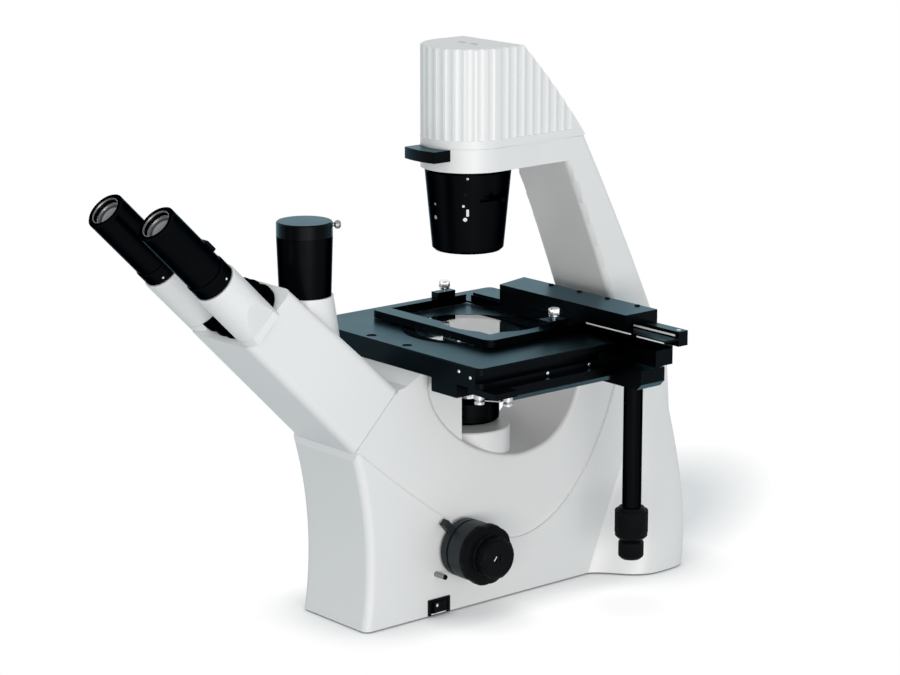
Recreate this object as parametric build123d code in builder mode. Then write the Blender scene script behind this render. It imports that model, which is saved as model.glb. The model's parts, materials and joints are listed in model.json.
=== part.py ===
from build123d import *
from math import acos, atan2, cos, degrees, hypot, pi, radians, sin, sqrt, tan
import os

os.makedirs("parts", exist_ok=True)

# Inverted microscope, millimetres. X is the operator's right, -Y the operator's side, +Z up.
# The origin is the point of the optical axis on the table.

# Fits
run_fit = 0.1
slide_gap = 0.3
free_gap = 0.5

# Stand: a casting with a bay under the stage and a foot that flares at the rear
foot_height = 1.5
body_half = 43.0
flank_step = 2.8
front_foot_y = -145.5
front_waist_y = -141.5
front_waist_z = 78.0
front_lip_y = -153.5
front_lip_z = 147.0
stage_seat_z = 208.7
shoulder_y = -84.0
shoulder_low_y = -98.7
shoulder_low_z = 200.6
bay_front_y = -75.0
bay_front_z = 196.0
bay_floor_y = 24.0
bay_floor_z = 122.0
bay_rear_y = 97.0
bay_rim_radius = 3.5
smile_floor_y = 20.0
smile_floor_z = 50.0
smile_start_rise = 13.0
smile_front_pull = 52.5
smile_front_z = 97.0
smile_sag = 5.0
smile_rear_pull = 52.0
smile_rear_z = 110.0
smile_end_y = 142.0
rear_top_y = 187.0
rear_mid_y = 196.0
rear_mid_z = 110.0
rear_foot_y = 187.0
front_edge_radius = 6.5
flare_reach = 41.0
flare_root_y = 84.0
flare_top_z = 172.0
guide_half = 37.5
guide_back_y = -38.5
pocket_half = body_half - 7.5
pocket_front_y = -131.0
pocket_rear_y = 178.0
pocket_top_z = 111.0
base_thick = 2.5
rubber_radius = 9.0

# Arm, lamp house and condenser
arm_half = 37.0
arm_front_y = 141.0
arm_corner_y = 77.0
arm_corner_radius = 30.0
arm_edge_radius = 5.0
ring_low_z = 365.2
ring_top_z = 384.5
ring_radius = 39.5
ring_tail_y = 98.5
light_bore = 22.0
lamp_height = 82.2
lamp_top_y = 27.0
lamp_wall = 3.2
lamp_top_radius = 1.8
flute_pitch = 9.0
flute_radius = 7.0
flute_depth = 1.0
flute_low_z = 391.5
lamp_seam = 0.9
vent_length = 9.0
vent_width = 3.0
condenser_top_radius = 36.0
condenser_low_radius = 29.8
condenser_top_z = 362.6
condenser_low_z = 295.5
condenser_wall = 4.0
condenser_lip = 3.0
iris_z = 340.0
iris_thick = 5.0
iris_swing = 18.0
iris_lever_width = 3.0
iris_lever_reach = 9.0
slider_half = 16.0
slider_low_z = 374.6
slider_thick = 5.5
slider_back_y = 27.0
tab_half = 19.0
tab_reach = 12.5
tab_height = 9.5
filter_radius = 13.0
filter_thick = 3.0

# Binocular head: a block on a 45 degree seat, in a plane across the tube axis
seat_along = 215.7
head_length = 145.6
head_half = 41.5
head_face_half = 40.0
head_depth = 65.5
head_face_depth = 58.3
head_edge_radius = 7.0
tube_rise = 19.9
pivot_rise = 30.0
head_bore = 15.0
swing_disc_radius = 25.5
swing_plate_thick = 3.0
pivot_radius = 4.0
eye_half_distance = 34.0
housing_radius = 18.6
housing_length = 59.0
eyepiece_radius = 16.3
eyepiece_end = 133.5
diopter_radius = 17.2
diopter_length = 13.0
eye_lens_radius = 11.0
photo_y = -170.6
photo_radius = 22.6
photo_low_radius = 21.0
photo_low_z = 280.0
photo_length = 60.0
photo_cap_height = 12.0
photo_bore = 15.0
cone_radius = 29.0
cone_height = 48.0

# Stage with its moving vessel holder
stage_half = 113.5
stage_front_y = -84.5
stage_rear_y = 123.5
stage_top_z = 226.2
stage_corner = 6.0
stage_hole = 44.0
insert_radius = 55.0
insert_thick = 3.0
groove_low_z = 213.6
groove_high_z = 220.6
groove_depth = 6.0
rail_low_z = 196.0
rail_inner_x = stage_half - 21.5
rail_outer_x = stage_half + 7.5
rail_front_y = -60.0
rail_rear_y = 57.5
rail_chamfer = 5.0
bracket_outer_x = stage_half + 36.5
bracket_rear_y = 84.0
bracket_low_z = 192.0
post_x = stage_half + 13.6
post_y = 70.9
post_radius = 8.0
post_bore = 5.0
post_low_z = 87.0
y_knob_radius = 13.6
y_knob_low_z = 60.0
x_knob_radius = 10.3
x_knob_low_z = 42.0
x_knob_top_z = 58.5
x_shaft_radius = 2.4
beam_left_x = -45.0
beam_front_y = 67.0
beam_rear_y = 103.0
beam_top_z = 249.0
beam_lift = 0.7
lip_thick = 5.0
lip_low_z = 235.6
cheek_right_x = stage_half + 7.5
foot_right_x = stage_half + 43.5
foot_rear_y = 86.0
foot_low_z = 212.0
foot_top_z = 227.4
bar_front_y = 83.6
bar_rear_y = 94.0
bar_low_z = 228.2
bar_top_z = 240.6
bar_left_x = -40.0
bar_right_x = foot_right_x + 9
holder_low_z = 227.0
holder_top_z = 233.5
holder_left_x = -87.4
holder_right_x = 68.0
holder_front_y = -35.4
well_left_x = -78.0
well_length = 128.2
well_front_y = -19.5
well_width = 85.9
well_ledge = 3.0
well_ledge_thick = 1.6
dish_x = 13.0
dish_y = 18.0
dish_radius = 44.0
clamp_y = 44.0
clamp_top_z = 239.0
thumb_radius = 4.6
thumb_top_z = 248.0
pulley_radius = 4.0
wire_radius = 0.6

# Nosepiece and focus
carriage_radius = 36.0
carriage_low_z = 117.5
carriage_top_z = 145.0
light_path = 9.0
turret_x = -11.5
turret_y = 9.75
turret_radius = 27.0
turret_top_z = 168.0
objective_radius = 9.6
objective_lengths = (34.0, 42.0, 44.0, 46.0)
focus_y = -44.0
focus_z = 55.5
focus_rise = 4.0
gear_module = 1.25
gear_teeth = 12
gear_pressure = 25.0
gear_backlash = 0.3
gear_width = 8.4
rack_x = 18.0
rack_thick = 9.0
rack_low_z = 39.0
sleeve_radius = 5.5
fine_shaft_radius = 3.0
bush_radius = 9.0
tension_radius = 24.6
tension_thick = 6.5
collar_radius = 20.0
collar_length = 3.0
coarse_radius = 24.8
coarse_length = 25.0
fine_radius = 17.0
fine_length = 12.0
lever_angle = 132.0
lever_reach = 11.0
path_height = 93.0
mirror_half = 13.0
mirror_thick = 4.0
mirror_post = 8.0

# Electrics
switch_y = -68.5
switch_z = 8.6
switch_length = 23.0
switch_height = 13.6
switch_plate = 1.6
rocker_length = 17.0
rocker_height = 9.0
rod_y = -71.0
rod_z = 36.5
rod_radius = 2.2
rod_out = 12.0
inlet_z = 34.0
inlet_width = 27.0
inlet_height = 20.0
inlet_depth = 14.0
dial_y = -104.0
dial_z = 30.0
dial_radius = 9.0


def turning_plane(origin, direction, radial):
    """Plane whose local x is the radius and whose local y runs along the turning axis."""
    return Plane(origin=origin, x_dir=radial, z_dir=Vector(radial).cross(Vector(direction)))


def turned(plane, *profile):
    """Solid of revolution of a closed (radius, height) outline about the plane's local y."""
    with BuildPart() as body:
        with BuildSketch(plane):
            with BuildLine():
                Polyline(*profile, close=True)
            make_face()
        revolve(axis=Axis(plane.origin, plane.y_dir))
    return body.part


def upright(x, y):
    """Turning plane of a vertical axis at x, y."""
    return turning_plane((x, y, 0), (0, 0, 1), (1, 0, 0))


def crosswise(y, z, side=1):
    """Turning plane of an axis along X at y, z, with heights counted outwards on one side."""
    return turning_plane((0, y, z), (side, 0, 0), (0, 1, 0))


def block(x0, x1, y0, y1, z0, z1):
    """Plain box between three pairs of limits."""
    with BuildPart() as body:
        with Locations(((x0 + x1) / 2, (y0 + y1) / 2, (z0 + z1) / 2)):
            Box(x1 - x0, y1 - y0, z1 - z0)
    return body.part


def prism(half, *profile, middle=0.0):
    """A (y, z) outline drawn on the side view and carried across X on both sides of middle."""
    with BuildPart() as body:
        with BuildSketch(Plane.YZ.offset(middle)):
            with BuildLine():
                Polyline(*profile, close=True)
            make_face()
        extrude(amount=half, both=True)
    return body.part


def head_point(across, rise, along):
    """Point of the head: across X, up from the head's lower face, along the 45 degree tube axis."""
    root = sqrt(0.5)
    return (across, root * (rise - along), root * (rise + along))


tube_axis = (0, -1, 1)
tube_rise_dir = (0, 1, 1)
upper_half = body_half - flank_step
seat_low = head_point(0, 0, seat_along)
seat_high = head_point(0, head_depth, seat_along)
face_along = seat_along + head_length
pitch_radius = gear_module * gear_teeth / 2
turret_pitch = hypot(turret_x, turret_y)


def ring_of(inner, outer, low, high):
    """Outline of a plain ring or disc for turning."""
    return ((inner, low), (outer, low), (outer, high), (inner, high))


def lens(plane, radius, low, edge, crown):
    """Plano-convex lens about the plane's local y: flat at low, rim height edge, rise crown."""
    ball = (radius**2 + crown**2) / (2 * crown)
    half_turn = acos(1 - crown / ball) / 2
    top = low + edge + crown
    with BuildPart() as body:
        with BuildSketch(plane):
            with BuildLine():
                Polyline((0, top), (0, low), (radius, low), (radius, low + edge))
                ThreePointArc(
                    (radius, low + edge),
                    (ball * sin(half_turn), top - ball + ball * cos(half_turn)),
                    (0, top),
                )
            make_face()
        revolve(axis=Axis(plane.origin, plane.y_dir))
    return body.part


def tube_plane(across):
    """Turning plane of an axis along the eyepiece tubes, heights counted from the tube origin."""
    return turning_plane(head_point(across, tube_rise, 0), tube_axis, (1, 0, 0))


def switch_span(length, height):
    """Limits along Y and Z of a rectangle about the switch."""
    return (
        switch_y - length / 2,
        switch_y + length / 2,
        switch_z - height / 2,
        switch_z + height / 2,
    )


# Sections of the flare: height, reach beyond the flank, y of the root and of the rear
flare_sections = (
    (foot_height, flare_reach, flare_root_y, rear_foot_y),
    (flare_top_z * 0.3, flare_reach * 0.80, flare_root_y + 22, rear_mid_y - 1.5),
    (flare_top_z * 0.65, flare_reach * 0.40, flare_root_y + 48, rear_mid_y - 1),
    (flare_top_z, flare_reach * 0.02, flare_root_y + 72, rear_mid_y - 7),
)
front_mirror_y = sqrt(2) * tube_rise - path_height
front_mirror_along = (path_height - front_mirror_y) * sqrt(0.5)

foot_places = (
    (pocket_half - rubber_radius, pocket_front_y + 14),
    (upper_half + flare_reach - 20, rear_foot_y - 24),
)
arm_bow = 2.0
lamp_bow = 2.0
lamp_top_z = ring_top_z + lamp_height
lens_radius = light_bore + 3
lamp_foot_y = lens_radius + 6
lamp_axis_z = ring_top_z + lamp_height / 2
bulb_radius = 5.0
bracket_half = 14.0
bracket_depth = 22.0
bracket_thick = 3.0
socket_half = 8.0
socket_y = lamp_foot_y - 6
condenser_bore = condenser_low_radius - condenser_wall + 3
condenser_lens_radius = condenser_low_radius - condenser_wall - run_fit
iris_opening = 16.0
iris_slot = iris_swing + degrees(iris_lever_width / condenser_low_radius)
tab_bow = 2.5
filter_ledge = 1.5
filter_low_z = slider_low_z + filter_ledge
slider_top_z = slider_low_z + slider_thick
flute_high_z = lamp_top_z + 1
flute_reach = ring_radius + flute_radius - flute_depth
flute_turn = flute_pitch / ring_radius
flute_rounds = int(pi / 2 / flute_turn)
flute_rows = int((ring_tail_y - flute_pitch) / flute_pitch)
side_lean = (ring_radius - arm_half) / ring_tail_y
flute_places = [
    (flute_reach * sin(k * flute_turn), -flute_reach * cos(k * flute_turn))
    for k in range(-flute_rounds, flute_rounds + 1)
] + [
    (side * (flute_reach - side_lean * k * flute_pitch), (k - 0.4) * flute_pitch)
    for side in (1, -1)
    for k in range(1, flute_rows + 1)
]

prism_half = 15.0
splitter_z = sqrt(2) * tube_rise - photo_y
splitter_along = (splitter_z - photo_y) * sqrt(0.5)
eye_port_x = 15.0
eye_port_radius = 6.0
photo_top_z = photo_low_z + photo_length
photo_seam_z = photo_top_z - photo_cap_height
cone_low_z = photo_low_z - cone_height
photo_mouth = photo_low_radius - 3
neck_radius = photo_mouth + 2
neck_top_z = photo_top_z - photo_cap_height / 2
lock_radius = 1.7
lock_reach = 7.0
lock_turn = 50.0
lock_plane = Plane(
    origin=(0, photo_y, photo_top_z - lock_radius - 1.2),
    x_dir=(0, 0, 1),
    z_dir=(cos(radians(lock_turn)), sin(radians(lock_turn)), 0),
)
pivot_plane = turning_plane(head_point(0, pivot_rise, 0), tube_axis, (1, 0, 0))
tube_drop = tube_rise - pivot_rise
plate_low = face_along + slide_gap
plate_high = plate_low + swing_plate_thick + slide_gap
tube_low = plate_high + swing_plate_thick + slide_gap
tube_high = face_along + housing_length
facet_inset = 12.5
facet_rise = 25.0
lug_radius = facet_inset - 2
disc_shift = 10.0
lug_neck = 5.0
eye_bore = 8.0
stem_radius = 11.6
stem_depth = 22.0

screw_radius = 2.6
screw_head_radius = 4.4
screw_sink = 4.5
screw_inset = 8.5
screw_places = [(x, y) for y in (stage_front_y + screw_inset, bay_rear_y + 12) for x in (-34.0, 12.5)]
front_block_left_x = stage_half - 60.5
front_block_right_x = stage_half - 29
drum_top_z = stage_seat_z - 4
pulley_bracket_x = stage_half + 17.5
pulley_top_z = stage_seat_z - 5
pulley_low_z = pulley_top_z - 8
wire_z = pulley_low_z + 3
pulley_places = ((stage_half - 7.5, stage_front_y + 6), (stage_half + 11.5, rail_front_y - 5))
tongue_front_y = beam_front_y - 25
beam_bevel = 9.0
strip_front_y = beam_front_y + 0.6
strip_thick = 1.2
strip_left_x = 72.0
holder_rear_y = bar_front_y
holder_corner = 9.0
well_right_x = well_left_x + well_length
clamp_places = (
    ((holder_left_x + well_left_x) / 2, (well_left_x - holder_left_x) / 2 - free_gap),
    ((holder_right_x + well_right_x) / 2, (holder_right_x - well_right_x) / 2 - 2),
)
thumb_stem = 2.0
stud_radius = 4.0
objective_bore = 7.0
objective_turns = [degrees(atan2(-turret_y, -turret_x)) + 90 * k for k in range(4)]
tooth_pitch = pi * gear_module
rack_count = 4
rack_pitch_y = focus_y + pitch_radius
rack_root_y = rack_pitch_y + 1.1 * gear_module
tension_in = body_half + collar_length + slide_gap
tension_out = tension_in + tension_thick
coarse_in = tension_out + 1.2
coarse_out = coarse_in + coarse_length
fine_in = coarse_out + 0.8
mirror_drop = mirror_thick * sqrt(2)
lean = tan(radians(22.5))
front_drop = mirror_thick / cos(radians(22.5))
inlet_face_y = rear_foot_y + 1.5
board_z = foot_height + base_thick + 6
board_half = pocket_half - 4
board_front_y = mirror_half + 45
board_length = 80.0
board_rear_y = board_front_y + board_length
board_thick = 2.0
board_stud = 3.0
transformer_height = 28.0


def objective_axis(turn):
    """Vertical turning plane of the objective at one turn about the turret."""
    x = turret_x + turret_pitch * cos(radians(turn))
    y = turret_y + turret_pitch * sin(radians(turn))
    return upright(x, y)


def rack_tooth(z):
    """Outline of a straight-sided rack tooth about height z, pointing at the pinion."""
    slope = tan(radians(gear_pressure))
    half = tooth_pitch / 4 - gear_backlash / 4
    tip = rack_pitch_y - 0.8 * gear_module
    rise = rack_root_y + 0.5 - rack_pitch_y
    return (
        (rack_root_y + 0.5, z - half - rise * slope),
        (tip, z - half + (rack_pitch_y - tip) * slope),
        (tip, z + half - (rack_pitch_y - tip) * slope),
        (rack_root_y + 0.5, z + half + rise * slope),
    )


def involute(radius):
    """Polar angle that an involute of the pinion's base circle has turned at a radius."""
    base = pitch_radius * cos(radians(gear_pressure))
    angle = acos(min(1.0, base / radius))
    return tan(angle) - angle


def pinion_outline():
    """Pinion outline: involute flanks from root to tip, one tooth towards the rack."""
    base = pitch_radius * cos(radians(gear_pressure))
    root = pitch_radius - 1.1 * gear_module
    tip = pitch_radius + 0.8 * gear_module
    half = pi / 2 / gear_teeth - gear_backlash / 4 / pitch_radius + involute(pitch_radius)
    steps = (base, (base + pitch_radius) / 2, pitch_radius, (pitch_radius + tip) / 2, tip)
    flank = [(root, half)] + [(r, half - involute(r)) for r in steps]
    points = []
    for k in range(gear_teeth):
        middle = 2 * pi * k / gear_teeth
        for radius, angle in [(r, -a) for r, a in flank] + flank[::-1]:
            points.append(
                (focus_y + radius * cos(middle + angle), focus_z + radius * sin(middle + angle))
            )
    return points


with BuildPart() as pocket_core:
    add(
        prism(
            pocket_half,
            (pocket_front_y, foot_height - 1),
            (pocket_front_y, pocket_top_z),
            (pocket_rear_y - 25, pocket_top_z),
            (pocket_rear_y, pocket_top_z / 2),
            (pocket_rear_y, foot_height - 1),
        )
    )
pocket = pocket_core.part

top_run = Vector(head_point(0, head_face_depth, face_along)) - Vector(seat_high)
head_top = Plane(origin=seat_high, x_dir=(1, 0, 0), z_dir=top_run.cross(Vector(1, 0, 0)))

# Stand casting
with BuildPart() as stand_body:
    with BuildSketch(Plane.YZ):
        with BuildLine():
            ThreePointArc(
                (front_foot_y, foot_height),
                (front_waist_y, front_waist_z),
                (front_lip_y, front_lip_z),
            )
            Polyline(
                (front_lip_y, front_lip_z),
                seat_low[1:],
                seat_high[1:],
                (shoulder_low_y, shoulder_low_z),
                (shoulder_y, stage_seat_z),
                (bay_front_y, stage_seat_z),
                (bay_front_y, bay_front_z),
            )
            Bezier(
                (bay_front_y, bay_front_z),
                (bay_front_y + 3, bay_front_z - 32),
                (bay_floor_y - 52, bay_floor_z + 4),
                (bay_floor_y, bay_floor_z),
            )
            Bezier(
                (bay_floor_y, bay_floor_z),
                (bay_floor_y + 38, bay_floor_z),
                (bay_rear_y - 5, bay_floor_z + 18),
                (bay_rear_y, stage_seat_z),
            )
            Line((bay_rear_y, stage_seat_z), (rear_top_y, stage_seat_z))
            ThreePointArc(
                (rear_top_y, stage_seat_z),
                (rear_mid_y, rear_mid_z),
                (rear_foot_y, foot_height),
            )
            Line((rear_foot_y, foot_height), (front_foot_y, foot_height))
        make_face()
    extrude(amount=body_half, both=True)
    fillet(edges().filter_by(GeomType.CIRCLE).sort_by(Axis.Y)[:2], radius=front_edge_radius)
    # The flanks step in above a smile-shaped line
    for side in (1, -1):
        with BuildSketch(Plane.YZ.offset(side * upper_half)):
            with BuildLine():
                Bezier(
                    (front_lip_y - 5, front_lip_z + smile_start_rise),
                    (smile_floor_y - 2 * smile_front_pull, smile_front_z),
                    (smile_floor_y - smile_front_pull, smile_floor_z + smile_sag),
                    (smile_floor_y, smile_floor_z),
                )
                Bezier(
                    (smile_floor_y, smile_floor_z),
                    (smile_floor_y + smile_rear_pull, smile_floor_z),
                    (smile_floor_y + 2 * smile_rear_pull, smile_rear_z),
                    (smile_end_y, stage_seat_z + 1),
                )
                Polyline(
                    (smile_end_y, stage_seat_z + 1),
                    (front_lip_y - 5, stage_seat_z + 1),
                    (front_lip_y - 5, front_lip_z + smile_start_rise),
                )
            make_face()
        extrude(amount=side * (flank_step + 1), mode=Mode.SUBTRACT)
    # Rounded rim of the bay
    fillet(
        edges().filter_by(
            lambda edge: edge.center().Z > bay_floor_z
            and bay_front_y < edge.center().Y < bay_rear_y
            and abs(edge.center().X) > upper_half - 1
        ),
        radius=bay_rim_radius,
    )
    # The rear foot flares out towards the table in one smooth sweep
    for height, reach, root_y, rear_y in flare_sections:
        with BuildSketch(Plane.XY.offset(height)):
            flank = upper_half - 1
            run = rear_y - root_y
            with BuildLine():
                Line((0, root_y), (flank, root_y))
                Bezier(
                    (flank, root_y),
                    (flank, root_y + 0.36 * run),
                    (flank + reach, root_y + 0.30 * run),
                    (flank + reach, root_y + 0.66 * run),
                )
                Bezier(
                    (flank + reach, root_y + 0.66 * run),
                    (flank + reach, root_y + 0.94 * run),
                    (flank + 0.9 * reach, rear_y),
                    (flank + 0.6 * reach - 4, rear_y),
                )
                Line((flank + 0.6 * reach - 4, rear_y), (0, rear_y))
                mirror(about=Plane.YZ)
            make_face()
    loft()
    # Front wall of the bay, which carries the stage and guides the nosepiece
    add(block(-guide_half, guide_half, bay_front_y - 2, guide_back_y, bay_floor_z - 4, stage_seat_z))
    # Hollow from below, with the nosepiece bore, the light path to the head and the side holes
    add(pocket, mode=Mode.SUBTRACT)
    add(
        turned(upright(0, 0), *ring_of(0, carriage_radius + slide_gap, pocket_top_z - 1, stage_seat_z)),
        mode=Mode.SUBTRACT,
    )
    add(
        block(
            rack_x - gear_width / 2 - free_gap,
            rack_x + gear_width / 2 + free_gap,
            rack_root_y - 2 * gear_module,
            rack_root_y + rack_thick + free_gap,
            pocket_top_z - 1,
            carriage_low_z + 1 + focus_rise + free_gap,
        ),
        mode=Mode.SUBTRACT,
    )
    add(
        turned(tube_plane(0), *ring_of(0, head_bore, front_mirror_along, seat_along + 1)),
        mode=Mode.SUBTRACT,
    )
    for side in (1, -1):
        add(
            turned(crosswise(focus_y, focus_z, side), *ring_of(0, bush_radius, 0, body_half + 1)),
            mode=Mode.SUBTRACT,
        )
    add(
        turned(crosswise(rod_y, rod_z), *ring_of(0, rod_radius + run_fit, 0, body_half + 1)),
        mode=Mode.SUBTRACT,
    )
    add(
        block(0, body_half + 1, *switch_span(rocker_length + 2, rocker_height + 2)),
        mode=Mode.SUBTRACT,
    )
    add(
        block(
            -inlet_width / 2,
            inlet_width / 2,
            pocket_rear_y - 1,
            rear_mid_y + 5,
            inlet_z - inlet_height / 2,
            inlet_z + inlet_height / 2,
        ),
        mode=Mode.SUBTRACT,
    )
    add(
        turned(crosswise(dial_y, dial_z, -1), *ring_of(0, 3 + run_fit, 0, body_half + 1)),
        mode=Mode.SUBTRACT,
    )

with BuildPart() as base_plate:
    add(
        block(-pocket_half, pocket_half, pocket_front_y, pocket_rear_y, foot_height, foot_height + base_thick)
    )

with BuildPart() as rubber_feet:
    with Locations((0, 0, foot_height / 2)):
        with Locations(*[(sx * x, y) for sx in (1, -1) for x, y in foot_places]):
            Cylinder(rubber_radius, foot_height)

# Arm: a leaning pillar with the lamp ring at its top
with BuildPart() as arm:
    with BuildSketch(Plane.YZ):
        with BuildLine():
            ThreePointArc(
                (rear_top_y, stage_seat_z),
                ((rear_top_y + ring_tail_y) / 2 + arm_bow, (stage_seat_z + ring_top_z) / 2),
                (ring_tail_y, ring_top_z),
            )
            Polyline((ring_tail_y, ring_top_z), (0, ring_top_z), (0, ring_low_z), (arm_corner_y, ring_low_z))
            ThreePointArc(
                (arm_corner_y, ring_low_z),
                ((arm_corner_y + arm_front_y) / 2 + arm_bow, (stage_seat_z + ring_low_z) / 2),
                (arm_front_y, stage_seat_z),
            )
            Line((arm_front_y, stage_seat_z), (rear_top_y, stage_seat_z))
        make_face()
        fillet(vertices().sort_by_distance((0, arm_corner_y, ring_low_z))[0], radius=arm_corner_radius)
    extrude(amount=arm_half, both=True)
    fillet(
        edges().filter_by(GeomType.CIRCLE).filter_by(lambda edge: edge.length > arm_corner_radius * 2),
        radius=arm_edge_radius,
    )
    with BuildSketch(Plane.XY.offset(ring_low_z)):
        Circle(ring_radius)
        with BuildLine():
            Polyline(
                (ring_radius, 0),
                (arm_half, arm_corner_y - arm_corner_radius),
                (-arm_half, arm_corner_y - arm_corner_radius),
                (-ring_radius, 0),
                close=True,
            )
        make_face()
    extrude(amount=ring_top_z - ring_low_z)
    add(turned(upright(0, 0), *ring_of(0, light_bore, ring_low_z - 1, ring_top_z + 1)), mode=Mode.SUBTRACT)
    add(
        block(
            -slider_half - slide_gap,
            slider_half + slide_gap,
            -ring_radius - 1,
            slider_back_y + slide_gap,
            slider_low_z - slide_gap,
            slider_low_z + slider_thick + slide_gap,
        ),
        mode=Mode.SUBTRACT,
    )

# Lamp house: a fluted shell with a sloping back
with BuildPart() as lamp_house:
    with BuildSketch(Plane.XY.offset(ring_top_z)):
        Circle(ring_radius)
        with BuildLine():
            Polyline(
                (ring_radius, 0),
                (arm_half, ring_tail_y),
                (-arm_half, ring_tail_y),
                (-ring_radius, 0),
                close=True,
            )
        make_face()
    extrude(amount=lamp_top_z - ring_top_z)
    with BuildSketch(Plane.YZ):
        with BuildLine():
            Polyline(
                (ring_tail_y, ring_top_z),
                (-ring_radius - 1, ring_top_z),
                (-ring_radius - 1, lamp_top_z),
                (lamp_top_y, lamp_top_z),
            )
            ThreePointArc(
                (lamp_top_y, lamp_top_z),
                (
                    (lamp_top_y + ring_tail_y) / 2 + lamp_bow,
                    (lamp_top_z + ring_top_z) / 2 + lamp_bow / 2,
                ),
                (ring_tail_y, ring_top_z),
            )
        make_face()
    extrude(amount=ring_radius + 1, both=True, mode=Mode.INTERSECT)
    fillet(edges().group_by(Axis.Z)[-1], radius=lamp_top_radius)
    offset(amount=-lamp_wall, openings=faces().sort_by(Axis.Z)[0])
    for x, y in flute_places:
        with Locations((x, y, (flute_low_z + flute_high_z) / 2)):
            Cylinder(flute_radius, flute_high_z - flute_low_z, mode=Mode.SUBTRACT)
    with Locations((-0.8 * vent_length, 0, lamp_top_z), (0.8 * vent_length, 0, lamp_top_z)):
        Box(vent_length, vent_width, 3 * lamp_wall, mode=Mode.SUBTRACT)
    # Seam round the foot
    with BuildSketch(Plane.XY.offset(ring_top_z)):
        Rectangle(4 * ring_radius, 4 * ring_tail_y)
        Circle(ring_radius - lamp_seam, mode=Mode.SUBTRACT)
        with BuildLine():
            Polyline(
                (ring_radius - lamp_seam, 0),
                (arm_half - lamp_seam, ring_tail_y - 2 * lamp_seam),
                (lamp_seam - arm_half, ring_tail_y - 2 * lamp_seam),
                (lamp_seam - ring_radius, 0),
                close=True,
            )
        make_face(mode=Mode.SUBTRACT)
    extrude(amount=lamp_seam, mode=Mode.SUBTRACT)

with BuildPart() as illuminator_lenses:
    add(lens(upright(0, 0), lens_radius, ring_top_z, 2, 8))
    add(lens(upright(0, 0), condenser_lens_radius, condenser_low_z + condenser_lip, 3, 9))

with BuildPart() as lamp_bracket:
    wall_y = lamp_foot_y + bracket_depth - bracket_thick
    add(
        block(
            -bracket_half,
            bracket_half,
            lamp_foot_y,
            lamp_foot_y + bracket_depth,
            ring_top_z,
            ring_top_z + bracket_thick,
        )
    )
    add(
        block(
            -bracket_half,
            bracket_half,
            wall_y,
            lamp_foot_y + bracket_depth,
            ring_top_z + bracket_thick,
            lamp_axis_z + 2 * bulb_radius,
        )
    )
    add(
        block(
            -socket_half,
            socket_half,
            socket_y,
            wall_y,
            lamp_axis_z - socket_half,
            lamp_axis_z + socket_half,
        )
    )

with BuildPart() as lamp_bulb:
    add(
        turned(
            turning_plane((0, socket_y, lamp_axis_z), (0, -1, 0), (1, 0, 0)),
            (0, 0),
            (3, 0),
            (3, 4),
            (bulb_radius, 8),
            (bulb_radius, 22),
            (bulb_radius * 0.7, 26),
            (0, 28),
        )
    )

# Condenser
with BuildPart() as condenser_barrel:
    add(
        turned(
            upright(0, 0),
            (condenser_low_radius - condenser_wall - condenser_lip, condenser_low_z),
            (condenser_low_radius - 2, condenser_low_z),
            (condenser_low_radius, condenser_low_z + 2),
            (condenser_top_radius, condenser_top_z),
            (condenser_top_radius - 3, condenser_top_z),
            (condenser_top_radius - 3, ring_low_z),
            (condenser_bore, ring_low_z),
            (condenser_bore, iris_z),
            (condenser_bore - 3, iris_z),
            (condenser_bore - 3, iris_z - 3),
            (condenser_low_radius - condenser_wall, iris_z - 6),
            (condenser_low_radius - condenser_wall, condenser_low_z + condenser_lip),
            (condenser_low_radius - condenser_wall - condenser_lip, condenser_low_z + condenser_lip),
        )
    )
    with BuildSketch(Plane.XY.offset(iris_z)):
        with BuildLine():
            slot_end = condenser_top_radius + 5
            Polyline(
                (0, 0),
                (slot_end, -slot_end * tan(radians(iris_slot))),
                (slot_end, slot_end * tan(radians(iris_slot))),
                close=True,
            )
        make_face()
        Circle(condenser_bore - 1, mode=Mode.SUBTRACT)
    extrude(amount=iris_thick + 2 * slide_gap, mode=Mode.SUBTRACT)

with BuildPart() as iris_ring:
    add(
        turned(
            upright(0, 0),
            *ring_of(
                iris_opening,
                condenser_bore - slide_gap,
                iris_z + slide_gap,
                iris_z + slide_gap + iris_thick,
            ),
        )
    )
    add(
        block(
            iris_opening + 2,
            condenser_top_radius + iris_lever_reach,
            -iris_lever_width / 2,
            iris_lever_width / 2,
            iris_z + slide_gap + 1,
            iris_z + slide_gap + 1 + iris_lever_width,
        )
    )

# Filter slider with its finger tab at the front of the ring
with BuildPart() as filter_slider:
    add(
        block(
            -slider_half,
            slider_half,
            -ring_radius - tab_reach + 4,
            slider_back_y,
            slider_low_z,
            slider_low_z + slider_thick,
        )
    )
    with BuildSketch(Plane.XY.offset(slider_low_z)):
        with BuildLine():
            ThreePointArc(
                (-tab_half, -ring_radius - tab_reach),
                (0, -ring_radius - tab_reach - tab_bow),
                (tab_half, -ring_radius - tab_reach),
            )
            Polyline(
                (tab_half, -ring_radius - tab_reach),
                (tab_half, 0),
                (-tab_half, 0),
                (-tab_half, -ring_radius - tab_reach),
            )
        make_face()
        Circle(ring_radius + free_gap, mode=Mode.SUBTRACT)
    extrude(amount=tab_height)
    add(
        turned(upright(0, 0), *ring_of(0, filter_radius - filter_ledge, slider_low_z - 1, slider_top_z + 1)),
        mode=Mode.SUBTRACT,
    )
    add(
        turned(upright(0, 0), *ring_of(0, filter_radius, filter_low_z, slider_top_z + 1)),
        mode=Mode.SUBTRACT,
    )

with BuildPart() as filter_glass:
    add(
        turned(
            upright(0, 0),
            *ring_of(0, filter_radius - run_fit, filter_low_z, filter_low_z + filter_thick),
        )
    )

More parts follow.
